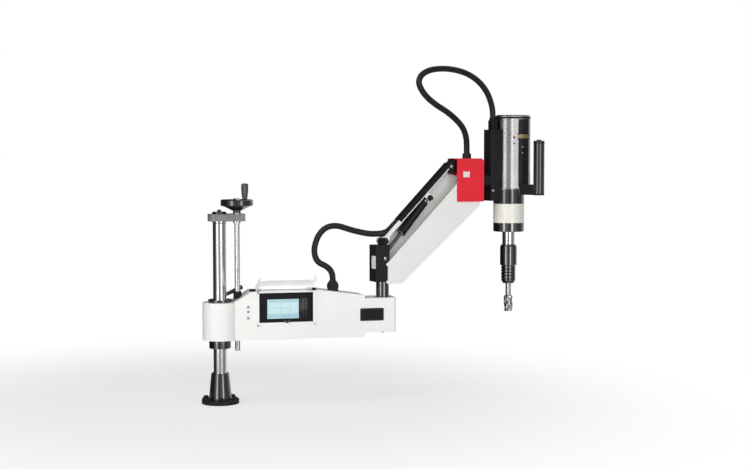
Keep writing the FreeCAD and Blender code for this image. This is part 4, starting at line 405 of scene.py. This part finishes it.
def rounded_plate(width, height, thick, corner, edge, steps=6):
    """A plate with round corners in X and Y, its back at z 0, its front edge softened."""
    outline = []
    for cx, cy, start in ((1, 1, 0), (-1, 1, 90), (-1, -1, 180), (1, -1, 270)):
        for step in range(steps + 1):
            angle = math.radians(start + 90 * step / steps)
            outline.append((cx * (width / 2 - corner) + corner * math.cos(angle),
                            cy * (height / 2 - corner) + corner * math.sin(angle), cx, cy, angle))
    made = bmesh.new()
    rows = []
    for inset, z in ((0, 0), (0, thick - edge), (edge, thick)):
        row = []
        for x, y, cx, cy, angle in outline:
            row.append(made.verts.new((x - inset * math.cos(angle), y - inset * math.sin(angle), z)))
        rows.append(row)
    close_loops(made, rows, False)
    made.faces.new(rows[-1])
    made.faces.new(list(reversed(rows[0])))
    return made


def aimed(at, axis, place=ROW):
    """Where a form drawn round +Z goes: its origin at the point at, its +Z along axis, in millimetres."""
    turn = Vector(axis).to_track_quat("Z", "Y").to_matrix().to_4x4()
    return place @ Matrix.Translation(Vector(at) * MM) @ turn


def turned_piece(name, profile, at, axis, body, slot, place=ROW, material=None, steps=48):
    mesh = as_mesh(name, lathe(profile, steps))
    finish_piece(name, mesh, aimed(at, axis, place), body, slot, material)


def cap_profile(radius, height, edge):
    return [(0, 0), (radius, 0), (radius, height - edge), (radius - edge * 0.3, height - edge * 0.3),
            (radius - edge, height), (0, height)]


def socket_screws(name, places, axis, radius, height, body, slot, place=ROW):
    """Round-headed screws with a hexagon socket, as one piece."""
    whole = bmesh.new()
    turn = Vector(axis).to_track_quat("Z", "Y").to_matrix().to_4x4()
    for at in places:
        well = radius * 0.5
        made = lathe([(0, 0), (radius, 0), (radius, height * 0.8), (radius * 0.9, height),
                      (well * 1.08, height)], 24)
        rim = [v for v in made.verts if abs(v.co.z - height) < 1e-6 and v.co.xy.length < radius * 0.8]
        rim.sort(key=lambda v: math.atan2(v.co.y, v.co.x))
        lower = []
        for vert in rim:
            angle = math.atan2(vert.co.y, vert.co.x)
            part = (angle % (math.pi / 3)) - math.pi / 6
            reach = well * math.cos(math.pi / 6) / math.cos(part)
            lower.append((made.verts.new((reach * math.cos(angle), reach * math.sin(angle), height)),
                          made.verts.new((reach * math.cos(angle), reach * math.sin(angle), height * 0.35))))
        for index, vert in enumerate(rim):
            after = (index + 1) % len(rim)
            made.faces.new((vert, rim[after], lower[after][0], lower[index][0]))
            made.faces.new((lower[index][0], lower[after][0], lower[after][1], lower[index][1]))
        made.faces.new([pair[1] for pair in lower])
        made.transform(Matrix.Translation(Vector(at)) @ turn)
        absorb(whole, made)
    finish_piece(name, as_mesh(name, whole), place, body, slot)


def hex_bolts(name, places, axis, across, height, body, slot, washer):
    """Hexagon bolts or nuts on their washers, as one piece."""
    whole = bmesh.new()
    turn = Vector(axis).to_track_quat("Z", "Y").to_matrix().to_4x4()
    radius = across / math.sqrt(3)

    def six(angle, index):
        part = (angle % (math.pi / 3)) - math.pi / 6
        return math.cos(math.pi / 6) / math.cos(part) if index in (1, 2) else 1.0

    for at in places:
        profile = [(0, washer), (radius, washer), (radius, washer + height * 0.82),
                   (across / 2 * 0.93, washer + height), (0, washer + height)]
        made = lathe(profile, 48, six)
        absorb(made, lathe(cap_profile(across * 0.85, washer, washer * 0.3), 48))
        made.transform(Matrix.Translation(Vector(at)) @ turn)
        absorb(whole, made)
    finish_piece(name, as_mesh(name, whole), ROW, body, slot)


# Hoses
def route_curve(name, points, bevel):
    curve = bpy.data.curves.new(name, "CURVE")
    curve.dimensions = "3D"
    spline = curve.splines.new("NURBS")
    spline.points.add(len(points) - 1)
    for point, place in zip(spline.points, points):
        point.co = (place[0] * MM, place[1] * MM, place[2] * MM, 1.0)
    spline.order_u = 3
    spline.use_endpoint_u = True
    spline.resolution_u = ROUTE_STEPS
    curve.bevel_depth = bevel
    curve.bevel_resolution = ROUND_STEPS
    curve.use_fill_caps = True
    thing = bpy.data.objects.new(name, curve)
    bpy.context.scene.collection.objects.link(thing)
    bpy.context.view_layer.update()
    mesh = bpy.data.meshes.new_from_object(thing.evaluated_get(bpy.context.evaluated_depsgraph_get()))
    bpy.data.objects.remove(thing)
    return mesh


def hose(name, node, points):
    line = route_curve(name + "_line", points, 0.0)
    mesh = route_curve(name, points, HOSE_D / 2 * MM)
    mesh.materials.clear()
    mesh.materials.append(MATERIALS["rubber_black"])
    mesh.shade_smooth()
    piece = bpy.data.objects.new(name, mesh)
    bpy.context.scene.collection.objects.link(piece)
    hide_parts(node)
    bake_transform(piece)


hose("hose_from_beam", "lower_hose", LOWER_HOSE)
hose("hose_over_pivot", "hose_tail", HOSE_TAIL)
hose("hose_to_motor", "upper_hose", UPPER_HOSE)


# Base bolts, screw and handwheel
def around(radius, height, start, count):
    turns = [math.radians(start + 360 * step / count) for step in range(count)]
    return [(radius * math.cos(turn), radius * math.sin(turn), height) for turn in turns]


def fluted(count, depth, rows):
    """A shape_of for lathe: count grooves round the form, in the given rows of its profile."""
    def shape(angle, index):
        return 1.0 - depth * (0.5 + 0.5 * math.cos(count * angle)) if index in rows else 1.0
    return shape


UP = (0, 0, 1)
FRONT = (0, -1, 0)
BOLT_CIRCLE_R = 59
FLANGE_TOP_Z = 16
FIRST_BOLT_TURN = 30
BOLT_COUNT = 6
SCREW_X = 67.0
WHEEL_TOP_Z = 766.0
WIPER_LOW_Z = 396
GRIP_PLACE = (91.05, -40.03, 772.3)


def base_and_screw():
    places = around(BOLT_CIRCLE_R, FLANGE_TOP_Z, FIRST_BOLT_TURN, BOLT_COUNT)
    hex_bolts("flange_bolts", places, UP, 17.0, 8.0, "stand", "black_paint", washer=1.6)
    hex_bolts("wheel_nut", [(SCREW_X, 0, WHEEL_TOP_Z)], UP, 22.0, 9.0, "screw", "bright_steel", washer=1.8)
    boot = ring_closed([(10.9, 0), (15.6, 0), (15.6, 27), (14.6, 28.5), (10.9, 28.5)], 48)
    finish_piece("screw_wiper", as_mesh("screw_wiper", boot), aimed((SCREW_X, 0, WIPER_LOW_Z), UP), "beam",
                 "black_plastic")
    profile = [(0, 0), (8.6, 0), (9.3, 0.8), (9.8, 6), (11.0, 13), (12.4, 24), (13.2, 34), (13.4, 44),
               (13.4, 54), (12.9, 58), (11.2, 60.6), (8.5, 61.4), (0, 61.5)]
    grip = as_mesh("fluted_grip", lathe(profile, 112, fluted(14, 0.075, range(3, 10))))
    piece = finish_piece("fluted_grip", grip, aimed(GRIP_PLACE, UP), "grip", "wheel_black", smooth=50)
    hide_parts("crank_grip")


# Beam: gland, hinge ends, display, plates
CORNER_STEPS = 6
HALF_STEPS = 28


def rounded_frame(width, height, corner, band, thick):
    """A flat frame with round corners: its back at z 0, its front at thick."""
    made = bmesh.new()
    loops = []
    for inset, z in ((0, 0), (0, thick), (band, thick), (band, 0)):
        loop = []
        for cx, cy, start in ((1, 1, 0), (-1, 1, 90), (-1, -1, 180), (1, -1, 270)):
            for step in range(CORNER_STEPS + 1):
                angle = math.radians(start + 90 * step / CORNER_STEPS)
                reach = max(corner - inset, 0.3)
                loop.append(made.verts.new((cx * (width / 2 - inset - reach) + reach * math.cos(angle),
                                            cy * (height / 2 - inset - reach) + reach * math.sin(angle), z)))
        loops.append(loop)
    close_loops(made, loops, True)
    return made


def half_ring(inner, outer, thick, edge):
    """The lower half of a ring in X and Y, its back at z 0."""
    made = bmesh.new()
    profile = [(inner, 0), (outer, 0), (outer, thick - edge), (outer - edge, thick),
               (inner + edge, thick), (inner, thick - edge)]
    rows = []
    for step in range(HALF_STEPS + 1):
        angle = math.pi + math.pi * step / HALF_STEPS
        rows.append([made.verts.new((r * math.cos(angle), r * math.sin(angle), z)) for r, z in profile])
    close_loops(made, rows, False)
    made.faces.new(rows[0])
    made.faces.new(list(reversed(rows[-1])))
    return made


def joined(shapes):
    whole = bmesh.new()
    for shape in shapes:
        bmesh.ops.recalc_face_normals(shape, faces=shape.faces)
        absorb(whole, shape)
    return whole


DISPLAY_FACE_Y = -39.0


def screen_blocks(name, boxes, material):
    """Plain blocks on the display, each from its left, low, right and top in X and Z."""
    shapes = []
    for x0, z0, x1, z1 in boxes:
        plate = rounded_plate(x1 - x0, z1 - z0, 0.25, 1.2, 0.08, 4)
        plate.transform(Matrix.Translation(((x0 + x1) / 2, (z0 + z1) / 2, 0)))
        shapes.append(plate)
    finish_piece(name, as_mesh(name, joined(shapes)), aimed((0, DISPLAY_FACE_Y, 0), FRONT), "beam",
                 "screen_glass", material)


GLAND_PLACE = (437, 0, 402.2)
HINGE_PLACE = (-55.5, 432)
HINGE_ENDS = (("hinge_end_left", 104, 127.6, 113), ("hinge_end_right", 342.4, 359, 344))
HINGE_FOOT_L = 13
HINGE_FOOT_Y = (-56.5, -43.0)
HINGE_FOOT_Z = (426.8, 430.2)
LATCH_PLACE = (248, -53.2, 317.4)
SLAT_FIRST_X = 301.5
SLAT_STEP = 5.6
SLAT_W = 3.4
SLAT_COUNT = 5
SLAT_Y = (-42.2, -36.8)
SLAT_Z = (321, 396)
BEZEL_PLACE = (235.5, -38.2, 356.5)
KEY_FIRST_X = 179
KEY_STEP = 23.2
KEY_W = 20
KEY_COUNT = 5
KEY_Z = (324, 335)
SCREEN_HEADER = (178, 384, 293, 391)
SCREEN_FIELDS = ((179, 362, 226, 380), (229, 362, 263, 380), (179, 340, 226, 358), (229, 340, 263, 358),
                 (266, 340, 293, 380))
PLATE_PLACE = (580.5, -50.0, 327)
PLATE_RIM_PLACE = (580.5, -51.0, 327)


def beam_trim():
    profile = [(0, 0), (20, 0), (20, 12.6), (22.3, 13.2), (22.6, 15), (22.6, 18.5), (21.5, 20), (20.4, 21.5),
               (20.6, 24), (22.0, 26.5), (22.9, 31), (22.8, 37), (21.6, 42), (19.4, 46.5), (16.6, 49.8),
               (15.0, 51.5), (15.0, 53.6), (13.6, 55.2), (0, 55.6)]
    gland = as_mesh("ribbed_gland", lathe(profile, 128, fluted(16, 0.085, range(9, 15))))
    piece = finish_piece("ribbed_gland", gland, aimed(GLAND_PLACE, UP), "beam", "black_plastic",
                         "rubber_black", smooth=50)
    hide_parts("cable_gland")
    for name, low_x, high_x, tab in HINGE_ENDS:
        barrel = lathe(cap_profile(4.9, high_x - low_x, 1.1), 32)
        barrel.transform(Matrix.Translation((low_x, *HINGE_PLACE)) @ Matrix.Rotation(math.pi / 2, 4, "Y"))
        foot = rounded_box((tab, HINGE_FOOT_Y[0], HINGE_FOOT_Z[0]),
                           (tab + HINGE_FOOT_L, HINGE_FOOT_Y[1], HINGE_FOOT_Z[1]), 0.8, 2)
        finish_piece(name, as_mesh(name, joined([barrel, foot])), ROW, "beam", "black_plastic")
    latch = half_ring(6.0, 13.5, 2.2, 0.6)
    finish_piece("flap_latch", as_mesh("flap_latch", latch), aimed(LATCH_PLACE, FRONT), "beam",
                 "black_plastic", "wheel_black")
    lefts = [SLAT_FIRST_X + SLAT_STEP * step for step in range(SLAT_COUNT)]
    slats = [rounded_box((left, SLAT_Y[0], SLAT_Z[0]), (left + SLAT_W, SLAT_Y[1], SLAT_Z[1]), 1.0, 3)
             for left in lefts]
    finish_piece("screen_slats", as_mesh("screen_slats", joined(slats)), ROW, "beam", "black_plastic",
                 "wheel_black")
    bezel = rounded_frame(128.5, 80.5, 3.0, 3.4, 1.3)
    finish_piece("screen_bezel", as_mesh("screen_bezel", bezel), aimed(BEZEL_PLACE, FRONT), "beam",
                 "black_plastic")
    screen_blocks("screen_header", [SCREEN_HEADER], "screen_deep")
    screen_blocks("screen_fields", SCREEN_FIELDS, "screen_pale")
    lefts = [KEY_FIRST_X + KEY_STEP * step for step in range(KEY_COUNT)]
    keys = [(left, KEY_Z[0], left + KEY_W, KEY_Z[1]) for left in lefts]
    screen_blocks("screen_keys", keys, "screen_deep")
    plate = rounded_plate(93.5, 49, 1.0, 4.5, 0.35)
    finish_piece("plate_blank", as_mesh("plate_blank", plate), aimed(PLATE_PLACE, FRONT), "beam",
                 "black_plastic")
    rim = rounded_frame(88.5, 44, 3.0, 1.0, 0.35)
    finish_piece("plate_rim", as_mesh("plate_rim", rim), aimed(PLATE_RIM_PLACE, FRONT), "beam",
                 "black_plastic", "dark_steel")


# Arm: pin ends, strut rings, blank labels, grommet, screws
EYE_R = 14.3
BAR_FACE_N = 24.65
PIVOT_CAP_N = 27.1
CLEVIS_PIN_N = 26.9
STRUT_FOOT_N = 31.0
NECK_BACK = 19.4
SEAL_BACK = 183.0
PIVOT_LABEL_PLACE = (-42.5, -10.5, 525.5)
HEAD_LABEL_PLACE = (347.3, -41.6, 862.8)
GROMMET_PLACE = (371, 0, 926)
MOUNT_SCREW_H = 474
MOUNT_SCREW_N = 30
MOUNT_SCREW_Z = 797
RING_SCREW_R = 62
RING_SCREW_TURN = -160
RING_SCREW_Z = 649
RING_SCREW_AXIS = (-0.94, -0.342, 0)


def arm_trim():
    cap = [(0, 0), (7, 0), (7, 3.6), (9.4, 4.4), (9.4, 9.6), (8.4, 10.8), (0, 10.8)]
    for name, side in (("pivot_cap_near", -1), ("pivot_cap_far", 1)):
        turned_piece(name, cap, (A1[0], side * PIVOT_CAP_N, A1[1]), (0, side, 0), "pivot", "black_paint", ARM)
    for name, side in (("clevis_pin_near", -1), ("clevis_pin_far", 1)):
        turned_piece(name, cap_profile(5.2, 2.0, 1.1), (B1[0], side * CLEVIS_PIN_N, B1[1]), (0, side, 0),
                     "head", "bright_steel", ARM)
    covers = []
    for h, z in (A1, B1):
        for side in (-1, 1):
            cover = ring_closed([(10.3, 0), (13.55, 0), (13.55, -6.2), (EYE_R, -6.2), (EYE_R, 1.4),
                                 (EYE_R - 0.9, 2.1), (10.3, 2.1)], 48)
            turn = Matrix.Rotation(side * -math.pi / 2, 4, "X")
            cover.transform(Matrix.Translation((h, side * BAR_FACE_N, z)) @ turn)
            covers.append(cover)
    finish_piece("bar_eye_covers", as_mesh("bar_eye_covers", joined(covers)), ARM, "upper_arm",
                 "black_plastic", "black_paint")
    turned_piece("strut_foot", [(0, 0), (6.6, 0), (6.6, 0.8), (5.8, 1.3), (4.2, 1.5), (3.6, 2.4), (0, 2.7)],
                 (STRUT_LOW[0], -STRUT_FOOT_N, STRUT_LOW[1]), FRONT, "pivot", "bright_steel", ARM)
    cap = [(0, 0), (11.7, 0), (11.7, 1.2), (10.9, 2.0), (9.2, 2.0), (9.2, 9.5), (8.2, 11), (0, 11)]
    for name, side in (("strut_bolt_near", -1), ("strut_bolt_far", 1)):
        turned_piece(name, cap, (STRUT_TOP[0], side * BAR_FACE_N, STRUT_TOP[1]), (0, side, 0), "upper_arm",
                     "dark_steel", ARM, "black_paint")
    way = Vector((STRUT_TOP[0] - STRUT_LOW[0], 0, STRUT_TOP[1] - STRUT_LOW[1])).normalized()
    top = Vector((STRUT_TOP[0], 0, STRUT_TOP[1]))
    neck = ring_closed([(8.05, 0), (10.4, 0.5), (11.0, 1.5), (11.0, 6.4), (10.4, 7.4), (8.05, 7.9)], 48)
    finish_piece("strut_neck_ring", as_mesh("strut_neck_ring", neck), aimed(top - way * NECK_BACK, way, ARM),
                 "strut_tube", "bright_steel")
    seal = ring_closed([(9.6, 0), (13.4, 0), (15.8, 2.0), (15.8, 3.4), (9.6, 3.4)], 48)
    finish_piece("strut_seal", as_mesh("strut_seal", seal), aimed(top - way * SEAL_BACK, way, ARM),
                 "strut_tube", "bright_steel")
    label = rounded_plate(36, 50, 0.5, 2.5, 0.2)
    finish_piece("pivot_label", as_mesh("pivot_label", label), aimed(PIVOT_LABEL_PLACE, (-1, 0, 0), ARM),
                 "pivot", "black_paint", "label_white")
    label = rounded_plate(29, 22.5, 0.5, 2.0, 0.2)
    finish_piece("head_label", as_mesh("head_label", label), aimed(HEAD_LABEL_PLACE, FRONT, ARM),
                 "head", "red_paint", "label_white")
    ribs = [(17.15, 0.2), (17.9, 0.2), (17.9, 4.0), (17.5, 4.6), (17.5, 13.6), (17.0, 15.4), (13.8, 19.6),
            (13.0, 22.0), (12.1, 22.0), (12.1, 18.3), (17.15, 18.3)]
    finish_piece("head_grommet", as_mesh("head_grommet", ring_closed(ribs, 64)),
                 aimed(GROMMET_PLACE, UP, ARM), "head", "rubber_black", smooth=50)
    for name, side in (("mount_screw_near", -1), ("mount_screw_far", 1)):
        socket_screws(name, [(MOUNT_SCREW_H, side * MOUNT_SCREW_N, MOUNT_SCREW_Z)], (0, side, 0), 5.6, 3.4,
                      "motor", "bright_steel", ARM)
    turn = math.radians(RING_SCREW_TURN)
    place = (SPINDLE_H + RING_SCREW_R * math.cos(turn), RING_SCREW_R * math.sin(turn), RING_SCREW_Z)
    socket_screws("ring_screws", [place], RING_SCREW_AXIS, 4.2, 2.6, "motor", "black_paint", ARM)


# Motor: its outline is the hull of two circles round MOTOR_A and MOTOR_B. From the seam, half a turn
# belongs to MOTOR_B and the rest to MOTOR_A.
POD_H = 32.0
POD_N = -7.0
MOTOR_A = (SPINDLE_H, 0.0)
MOTOR_B = (SPINDLE_H + POD_H, POD_N)
MOTOR_R = 54.5
MOTOR_SEAM = math.degrees(math.atan2(POD_N, POD_H)) - 90.0
BAND_STEPS = 36
STRIP_STEPS = 14
STRIP_SUNK = 0.6


def on_motor(turn, grow=0.0, share=None):
    """A point on the motor's outline at a turn in degrees, grow outside it. share is how far its
    centre lies from MOTOR_A to MOTOR_B."""
    if share is None:
        share = 1.0 if MOTOR_SEAM <= turn <= MOTOR_SEAM + 180 else 0.0
    centre = [one + (two - one) * share for one, two in zip(MOTOR_A, MOTOR_B)]
    angle = math.radians(turn)
    return (centre[0] + (MOTOR_R + grow) * math.cos(angle), centre[1] + (MOTOR_R + grow) * math.sin(angle))


def motor_band(name, low, high, grow, slot, material=None):
    """A closed band round the motor."""
    made = bmesh.new()
    turns = [MOTOR_SEAM + 180 * step / BAND_STEPS for step in range(BAND_STEPS + 1)]
    turns += [MOTOR_SEAM + 180.01 + 179.98 * step / BAND_STEPS for step in range(BAND_STEPS + 1)]
    rows = []
    for lift, out in ((low, -1.0), (low, grow), (high, grow), (high, -1.0)):
        row = []
        for turn in turns:
            h, n = on_motor(turn, out)
            row.append(made.verts.new((h, n, lift)))
        rows.append(row)
    close_loops(made, rows, True)
    finish_piece(name, as_mesh(name, made), ARM, "motor", slot, material)


def motor_strip(name, start, end, low, high, thick, slot, material):
    """A strip on the motor: from the share start, along the flat at the seam, round to the turn end."""
    made = bmesh.new()
    rows = []
    sweep = [MOTOR_SEAM + (end - MOTOR_SEAM) * step / STRIP_STEPS for step in range(STRIP_STEPS + 1)]
    for turn, share in [(MOTOR_SEAM, start)] + [(turn, 1.0) for turn in sweep]:
        inner = on_motor(turn, -STRIP_SUNK, share)
        outer = on_motor(turn, thick, share)
        rows.append([made.verts.new((inner[0], inner[1], low)), made.verts.new((outer[0], outer[1], low)),
                     made.verts.new((outer[0], outer[1], high)), made.verts.new((inner[0], inner[1], high))])
    close_loops(made, rows, False)
    made.faces.new(rows[0])
    made.faces.new(list(reversed(rows[-1])))
    finish_piece(name, as_mesh(name, made), ARM, "motor", slot, material)


ON_SPINDLE = aimed((SPINDLE_H, 0, 0), UP, ARM)


def motor_trim():
    motor_band("motor_cap_band", 1085.0, 1092.0, 0.7, "motor_black", "black_paint")
    collar = ring_closed([(60.6, 744.2), (61.9, 744.2), (62.1, 745.2), (62.1, 799.0), (61.2, 803.6),
                          (60.6, 803.6)], 96)
    finish_piece("collar_wrap", as_mesh("collar_wrap", collar), ON_SPINDLE, "motor", "motor_black",
                 "wheel_black")
    motor_band("motor_foot_band", 806.0, 866.0, 1.1, "motor_black")
    # Painted reflection: this black strip down the motor's flat side stands in for the dark reflection there.
    motor_strip("motor_painted_dark_reflection", 0.66, -62.0, 812.0, 1083.0, 1.3, "motor_black", "black_paint")
    motor_strip("band_back", 0.58, -60.0, 1001.0, 1027.0, 1.4, "motor_black", "black_paint")
    motor_strip("band_plain", 0.6, -62.0, 1006.0, 1022.0, 1.7, "motor_black", "gold_band")
    for name, turn, share, height, radius, material in (
            ("motor_stud_low", -95, 1.0, 948, 2.6, "bright_steel"),
            ("motor_stud_high", -95, 1.0, 972, 2.6, "bright_steel"),
            ("motor_plug_low", MOTOR_SEAM, 0.12, 985, 3.2, "black_paint"),
            ("motor_plug_high", MOTOR_SEAM, 0.12, 1010, 4.2, "black_paint")):
        h, n = on_motor(turn, 0.0, share)
        way = (math.cos(math.radians(turn)), math.sin(math.radians(turn)), 0)
        turned_piece(name, cap_profile(radius, 1.8, 0.8), (h, n, height), way, "motor", "motor_black", ARM,
                     material, 24)


# Handle and drive
HANDLE_PLACE = (630.3, -123.6, 0)
ADAPTER_BAND_FIRST_Z = 437.4
ADAPTER_BAND_STEP = 13.4
ADAPTER_BAND_H = 3.2
ADAPTER_BAND_COUNT = 4
TAP_LOW_Z = 307.0
TAP_TOP_Z = 373.0
TAP_NECK = 4.0
TAP_LEAD = 14.0
TAP_LEAD_R = 16.0
TAP_LEAD_RISE = 2.0
THREAD_PITCH = 3.0
TAP_ROWS = 150
FLUTE_COUNT = 3
FLUTE_TWIST = 0.115
FLUTE_DEPTH = 0.42
TOOTH_DEPTH = 0.006


def drive_trim():
    for name, low, high in (("handle_ring_low", 779.4, 786), ("handle_ring_high", 985.5, 991)):
        ring = ring_closed([(21.2, low), (22.25, low), (22.25, high), (21.2, high)], 64)
        finish_piece(name, as_mesh(name, ring), aimed(HANDLE_PLACE, UP, ARM), "motor",
                     "black_plastic", "rubber_black")
    # Painted shade: black rings fill the adapter's grooves so they look shaded.
    rings = []
    for step in range(ADAPTER_BAND_COUNT):
        low = ADAPTER_BAND_FIRST_Z + ADAPTER_BAND_STEP * step
        high = low + ADAPTER_BAND_H
        rings.append(ring_closed([(26.2, low), (26.9, low), (26.9, high), (26.2, high)], 64))
    finish_piece("adapter_groove_shade", as_mesh("adapter_groove_shade", joined(rings)), ON_SPINDLE, "drive", "dark_steel",
                 "rubber_black")
    profile = [(0, TAP_LOW_Z)]
    for step in range(TAP_ROWS + 1):
        z = TAP_LOW_Z + (TAP_TOP_Z - TAP_NECK - TAP_LOW_Z) * step / TAP_ROWS
        profile.append((TAP_LEAD_R + TAP_LEAD_RISE * min(1.0, (z - TAP_LOW_Z) / TAP_LEAD), z))
    profile += [(11.0, TAP_TOP_Z), (11.0, TAP_TOP_Z + 1.2), (11.0, 438.8), (11.0, 440.0), (10.2, 441.0),
                (10.2, 455.0), (0, 455.0)]

    def tap_shape(angle, index):
        if index == 0 or index > TAP_ROWS + 1:
            return 1.0
        up = profile[index][1] - TAP_LOW_Z
        wave = math.cos(FLUTE_COUNT * angle - up * FLUTE_TWIST)
        flute = FLUTE_DEPTH * min(1.0, max(0.0, 0.35 - wave)) ** 0.8
        turn = up / THREAD_PITCH - angle / (2 * math.pi)
        tooth = TOOTH_DEPTH * abs(2 * (turn - math.floor(turn)) - 1)
        return 1.0 - flute - tooth

    tap = as_mesh("spiral_tap", lathe(profile, 96, tap_shape))
    piece = finish_piece("spiral_tap", tap, ON_SPINDLE, "drive", "tap_steel", smooth=40)
    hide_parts("tap")


base_and_screw()
beam_trim()
arm_trim()
motor_trim()
drive_trim()


# Studio
LIT_CENTRE = (0.55, 0.05, 0.65)
FILL_LEVEL = 0.24
TURN_BANDS = ((0.0, 0.6), (0.014, 0.6), (0.026, 0.15), (0.05, 0.15), (0.064, 0.6), (0.18, 0.6),
              (0.23, 0.04), (0.535, 0.04), (0.55, 0.8), (0.72, 0.8), (0.75, 0.25), (0.87, 0.25),
              (0.89, 0.6), (1.0, 0.6))
FLOOR_REACH = 30.0
FLOOR_DROP = 0.0005
FADE_START = 0.5
FADE_END = 2.0
FADE_LOW = 0.62
MIRROR_START = 0.35


def stage_light(name, azimuth, distance, height, width, tall, power):
    """An area light that faces the object. azimuth is measured from the camera's side, in degrees."""
    data = bpy.data.lights.new(name, "AREA")
    data.shape = "RECTANGLE"
    data.size = width
    data.size_y = tall
    data.energy = power
    light = bpy.data.objects.new(name, data)
    bpy.context.scene.collection.objects.link(light)
    centre = Vector(LIT_CENTRE)
    turn = math.radians(azimuth) - CAMERA_AZIMUTH
    light.location = centre + Vector((math.sin(turn) * distance, -math.cos(turn) * distance,
                                      height - LIT_CENTRE[2]))
    light.rotation_euler = (centre - light.location).to_track_quat("-Z", "Y").to_euler()
    return light


def studio():
    stage_light("left_softbox", -35, 4.0, 1.1, 0.95, 2.8, 33)
    stage_light("right_softbox", 31, 4.0, 1.1, 0.85, 2.8, 33)
    stage_light("top_softbox", -60, 2.2, 2.9, 1.8, 1.8, 24)
    stage_light("front_fill", 0, 4.4, 1.4, 2.2, 1.6, 70).visible_glossy = False


def world():
    made = bpy.data.worlds.new("studio")
    made.use_nodes = True
    nodes = made.node_tree.nodes
    links = made.node_tree.links
    nodes.clear()
    out = nodes.new("ShaderNodeOutputWorld")
    mix = nodes.new("ShaderNodeMixShader")
    fill = nodes.new("ShaderNodeBackground")
    fill.inputs["Color"].default_value = (0.98, 0.985, 1.0, 1)
    fill.inputs["Strength"].default_value = FILL_LEVEL
    shown = nodes.new("ShaderNodeBackground")
    shown.inputs["Strength"].default_value = 1.0
    where = nodes.new("ShaderNodeTexCoord")
    split = nodes.new("ShaderNodeSeparateXYZ")
    links.new(where.outputs["Generated"], split.inputs["Vector"])
    scale = nodes.new("ShaderNodeMapRange")
    scale.inputs["From Min"].default_value = -math.pi
    scale.inputs["From Max"].default_value = math.pi
    turn = worked_out(nodes, links, "ARCTAN2", split.outputs["X"], split.outputs["Y"])
    links.new(turn, scale.inputs["Value"])
    ramp = nodes.new("ShaderNodeValToRGB")
    elements = ramp.color_ramp.elements
    while len(elements) < len(TURN_BANDS):
        elements.new(0.5)
    for element, (position, value) in zip(elements, TURN_BANDS):
        element.position = position
        element.color = (value, value, value, 1)
    links.new(scale.outputs["Result"], ramp.inputs["Fac"])
    links.new(ramp.outputs["Color"], shown.inputs["Color"])
    seen = nodes.new("ShaderNodeBackground")
    seen.inputs["Color"].default_value = (1, 1, 1, 1)
    seen.inputs["Strength"].default_value = 1.0
    rays = nodes.new("ShaderNodeLightPath")
    links.new(rays.outputs["Is Glossy Ray"], mix.inputs["Fac"])
    links.new(fill.outputs["Background"], mix.inputs[1])
    links.new(shown.outputs["Background"], mix.inputs[2])
    direct = worked_out(nodes, links, "MAXIMUM", rays.outputs["Is Camera Ray"],
                        rays.outputs["Is Transmission Ray"])
    last = nodes.new("ShaderNodeMixShader")
    links.new(direct, last.inputs["Fac"])
    links.new(mix.outputs["Shader"], last.inputs[1])
    links.new(seen.outputs["Background"], last.inputs[2])
    links.new(last.outputs["Shader"], out.inputs["Surface"])
    bpy.context.scene.world = made


def floor():
    made = bpy.data.materials.new("pale_floor")
    made.use_nodes = True
    nodes = made.node_tree.nodes
    links = made.node_tree.links
    nodes.clear()
    out = nodes.new("ShaderNodeOutputMaterial")
    matte = nodes.new("ShaderNodeBsdfDiffuse")
    matte.inputs["Color"].default_value = (0.82, 0.82, 0.82, 1)
    glow = nodes.new("ShaderNodeEmission")
    glow.inputs["Strength"].default_value = 1.0
    where = nodes.new("ShaderNodeTexCoord")
    away = nodes.new("ShaderNodeVectorMath")
    away.operation = "LENGTH"
    links.new(where.outputs["Object"], away.inputs[0])
    fade = nodes.new("ShaderNodeMapRange")
    fade.interpolation_type = "SMOOTHSTEP"
    fade.inputs["From Min"].default_value = FADE_START
    fade.inputs["From Max"].default_value = FADE_END
    fade.inputs["To Min"].default_value = FADE_LOW
    fade.inputs["To Max"].default_value = 1.0
    links.new(away.outputs["Value"], fade.inputs["Value"])
    rays = nodes.new("ShaderNodeLightPath")
    seen = worked_out(nodes, links, "MAXIMUM", rays.outputs["Is Camera Ray"],
                      rays.outputs["Is Transmission Ray"])
    mix = nodes.new("ShaderNodeMixShader")
    links.new(worked_out(nodes, links, "MULTIPLY", fade.outputs["Result"], seen), mix.inputs["Fac"])
    links.new(matte.outputs["BSDF"], mix.inputs[1])
    links.new(glow.outputs["Emission"], mix.inputs[2])
    past = worked_out(nodes, links, "GREATER_THAN", away.outputs["Value"], MIRROR_START)
    mirrored = worked_out(nodes, links, "MULTIPLY", past, rays.outputs["Is Glossy Ray"])
    clear = nodes.new("ShaderNodeBsdfTransparent")
    last = nodes.new("ShaderNodeMixShader")
    links.new(mirrored, last.inputs["Fac"])
    links.new(mix.outputs["Shader"], last.inputs[1])
    links.new(clear.outputs["BSDF"], last.inputs[2])
    links.new(last.outputs["Shader"], out.inputs["Surface"])
    mesh = bpy.data.meshes.new("floor")
    corners = [(x * FLOOR_REACH, y * FLOOR_REACH, 0) for x, y in ((-1, -1), (1, -1), (1, 1), (-1, 1))]
    mesh.from_pydata(corners, [], [(0, 1, 2, 3)])
    mesh.materials.append(made)
    thing = bpy.data.objects.new("floor", mesh)
    thing.location = (0.0, 0.0, -FLOOR_DROP)
    bpy.context.scene.collection.objects.link(thing)


studio()
world()
floor()
bpy.context.scene.view_settings.view_transform = "Standard"
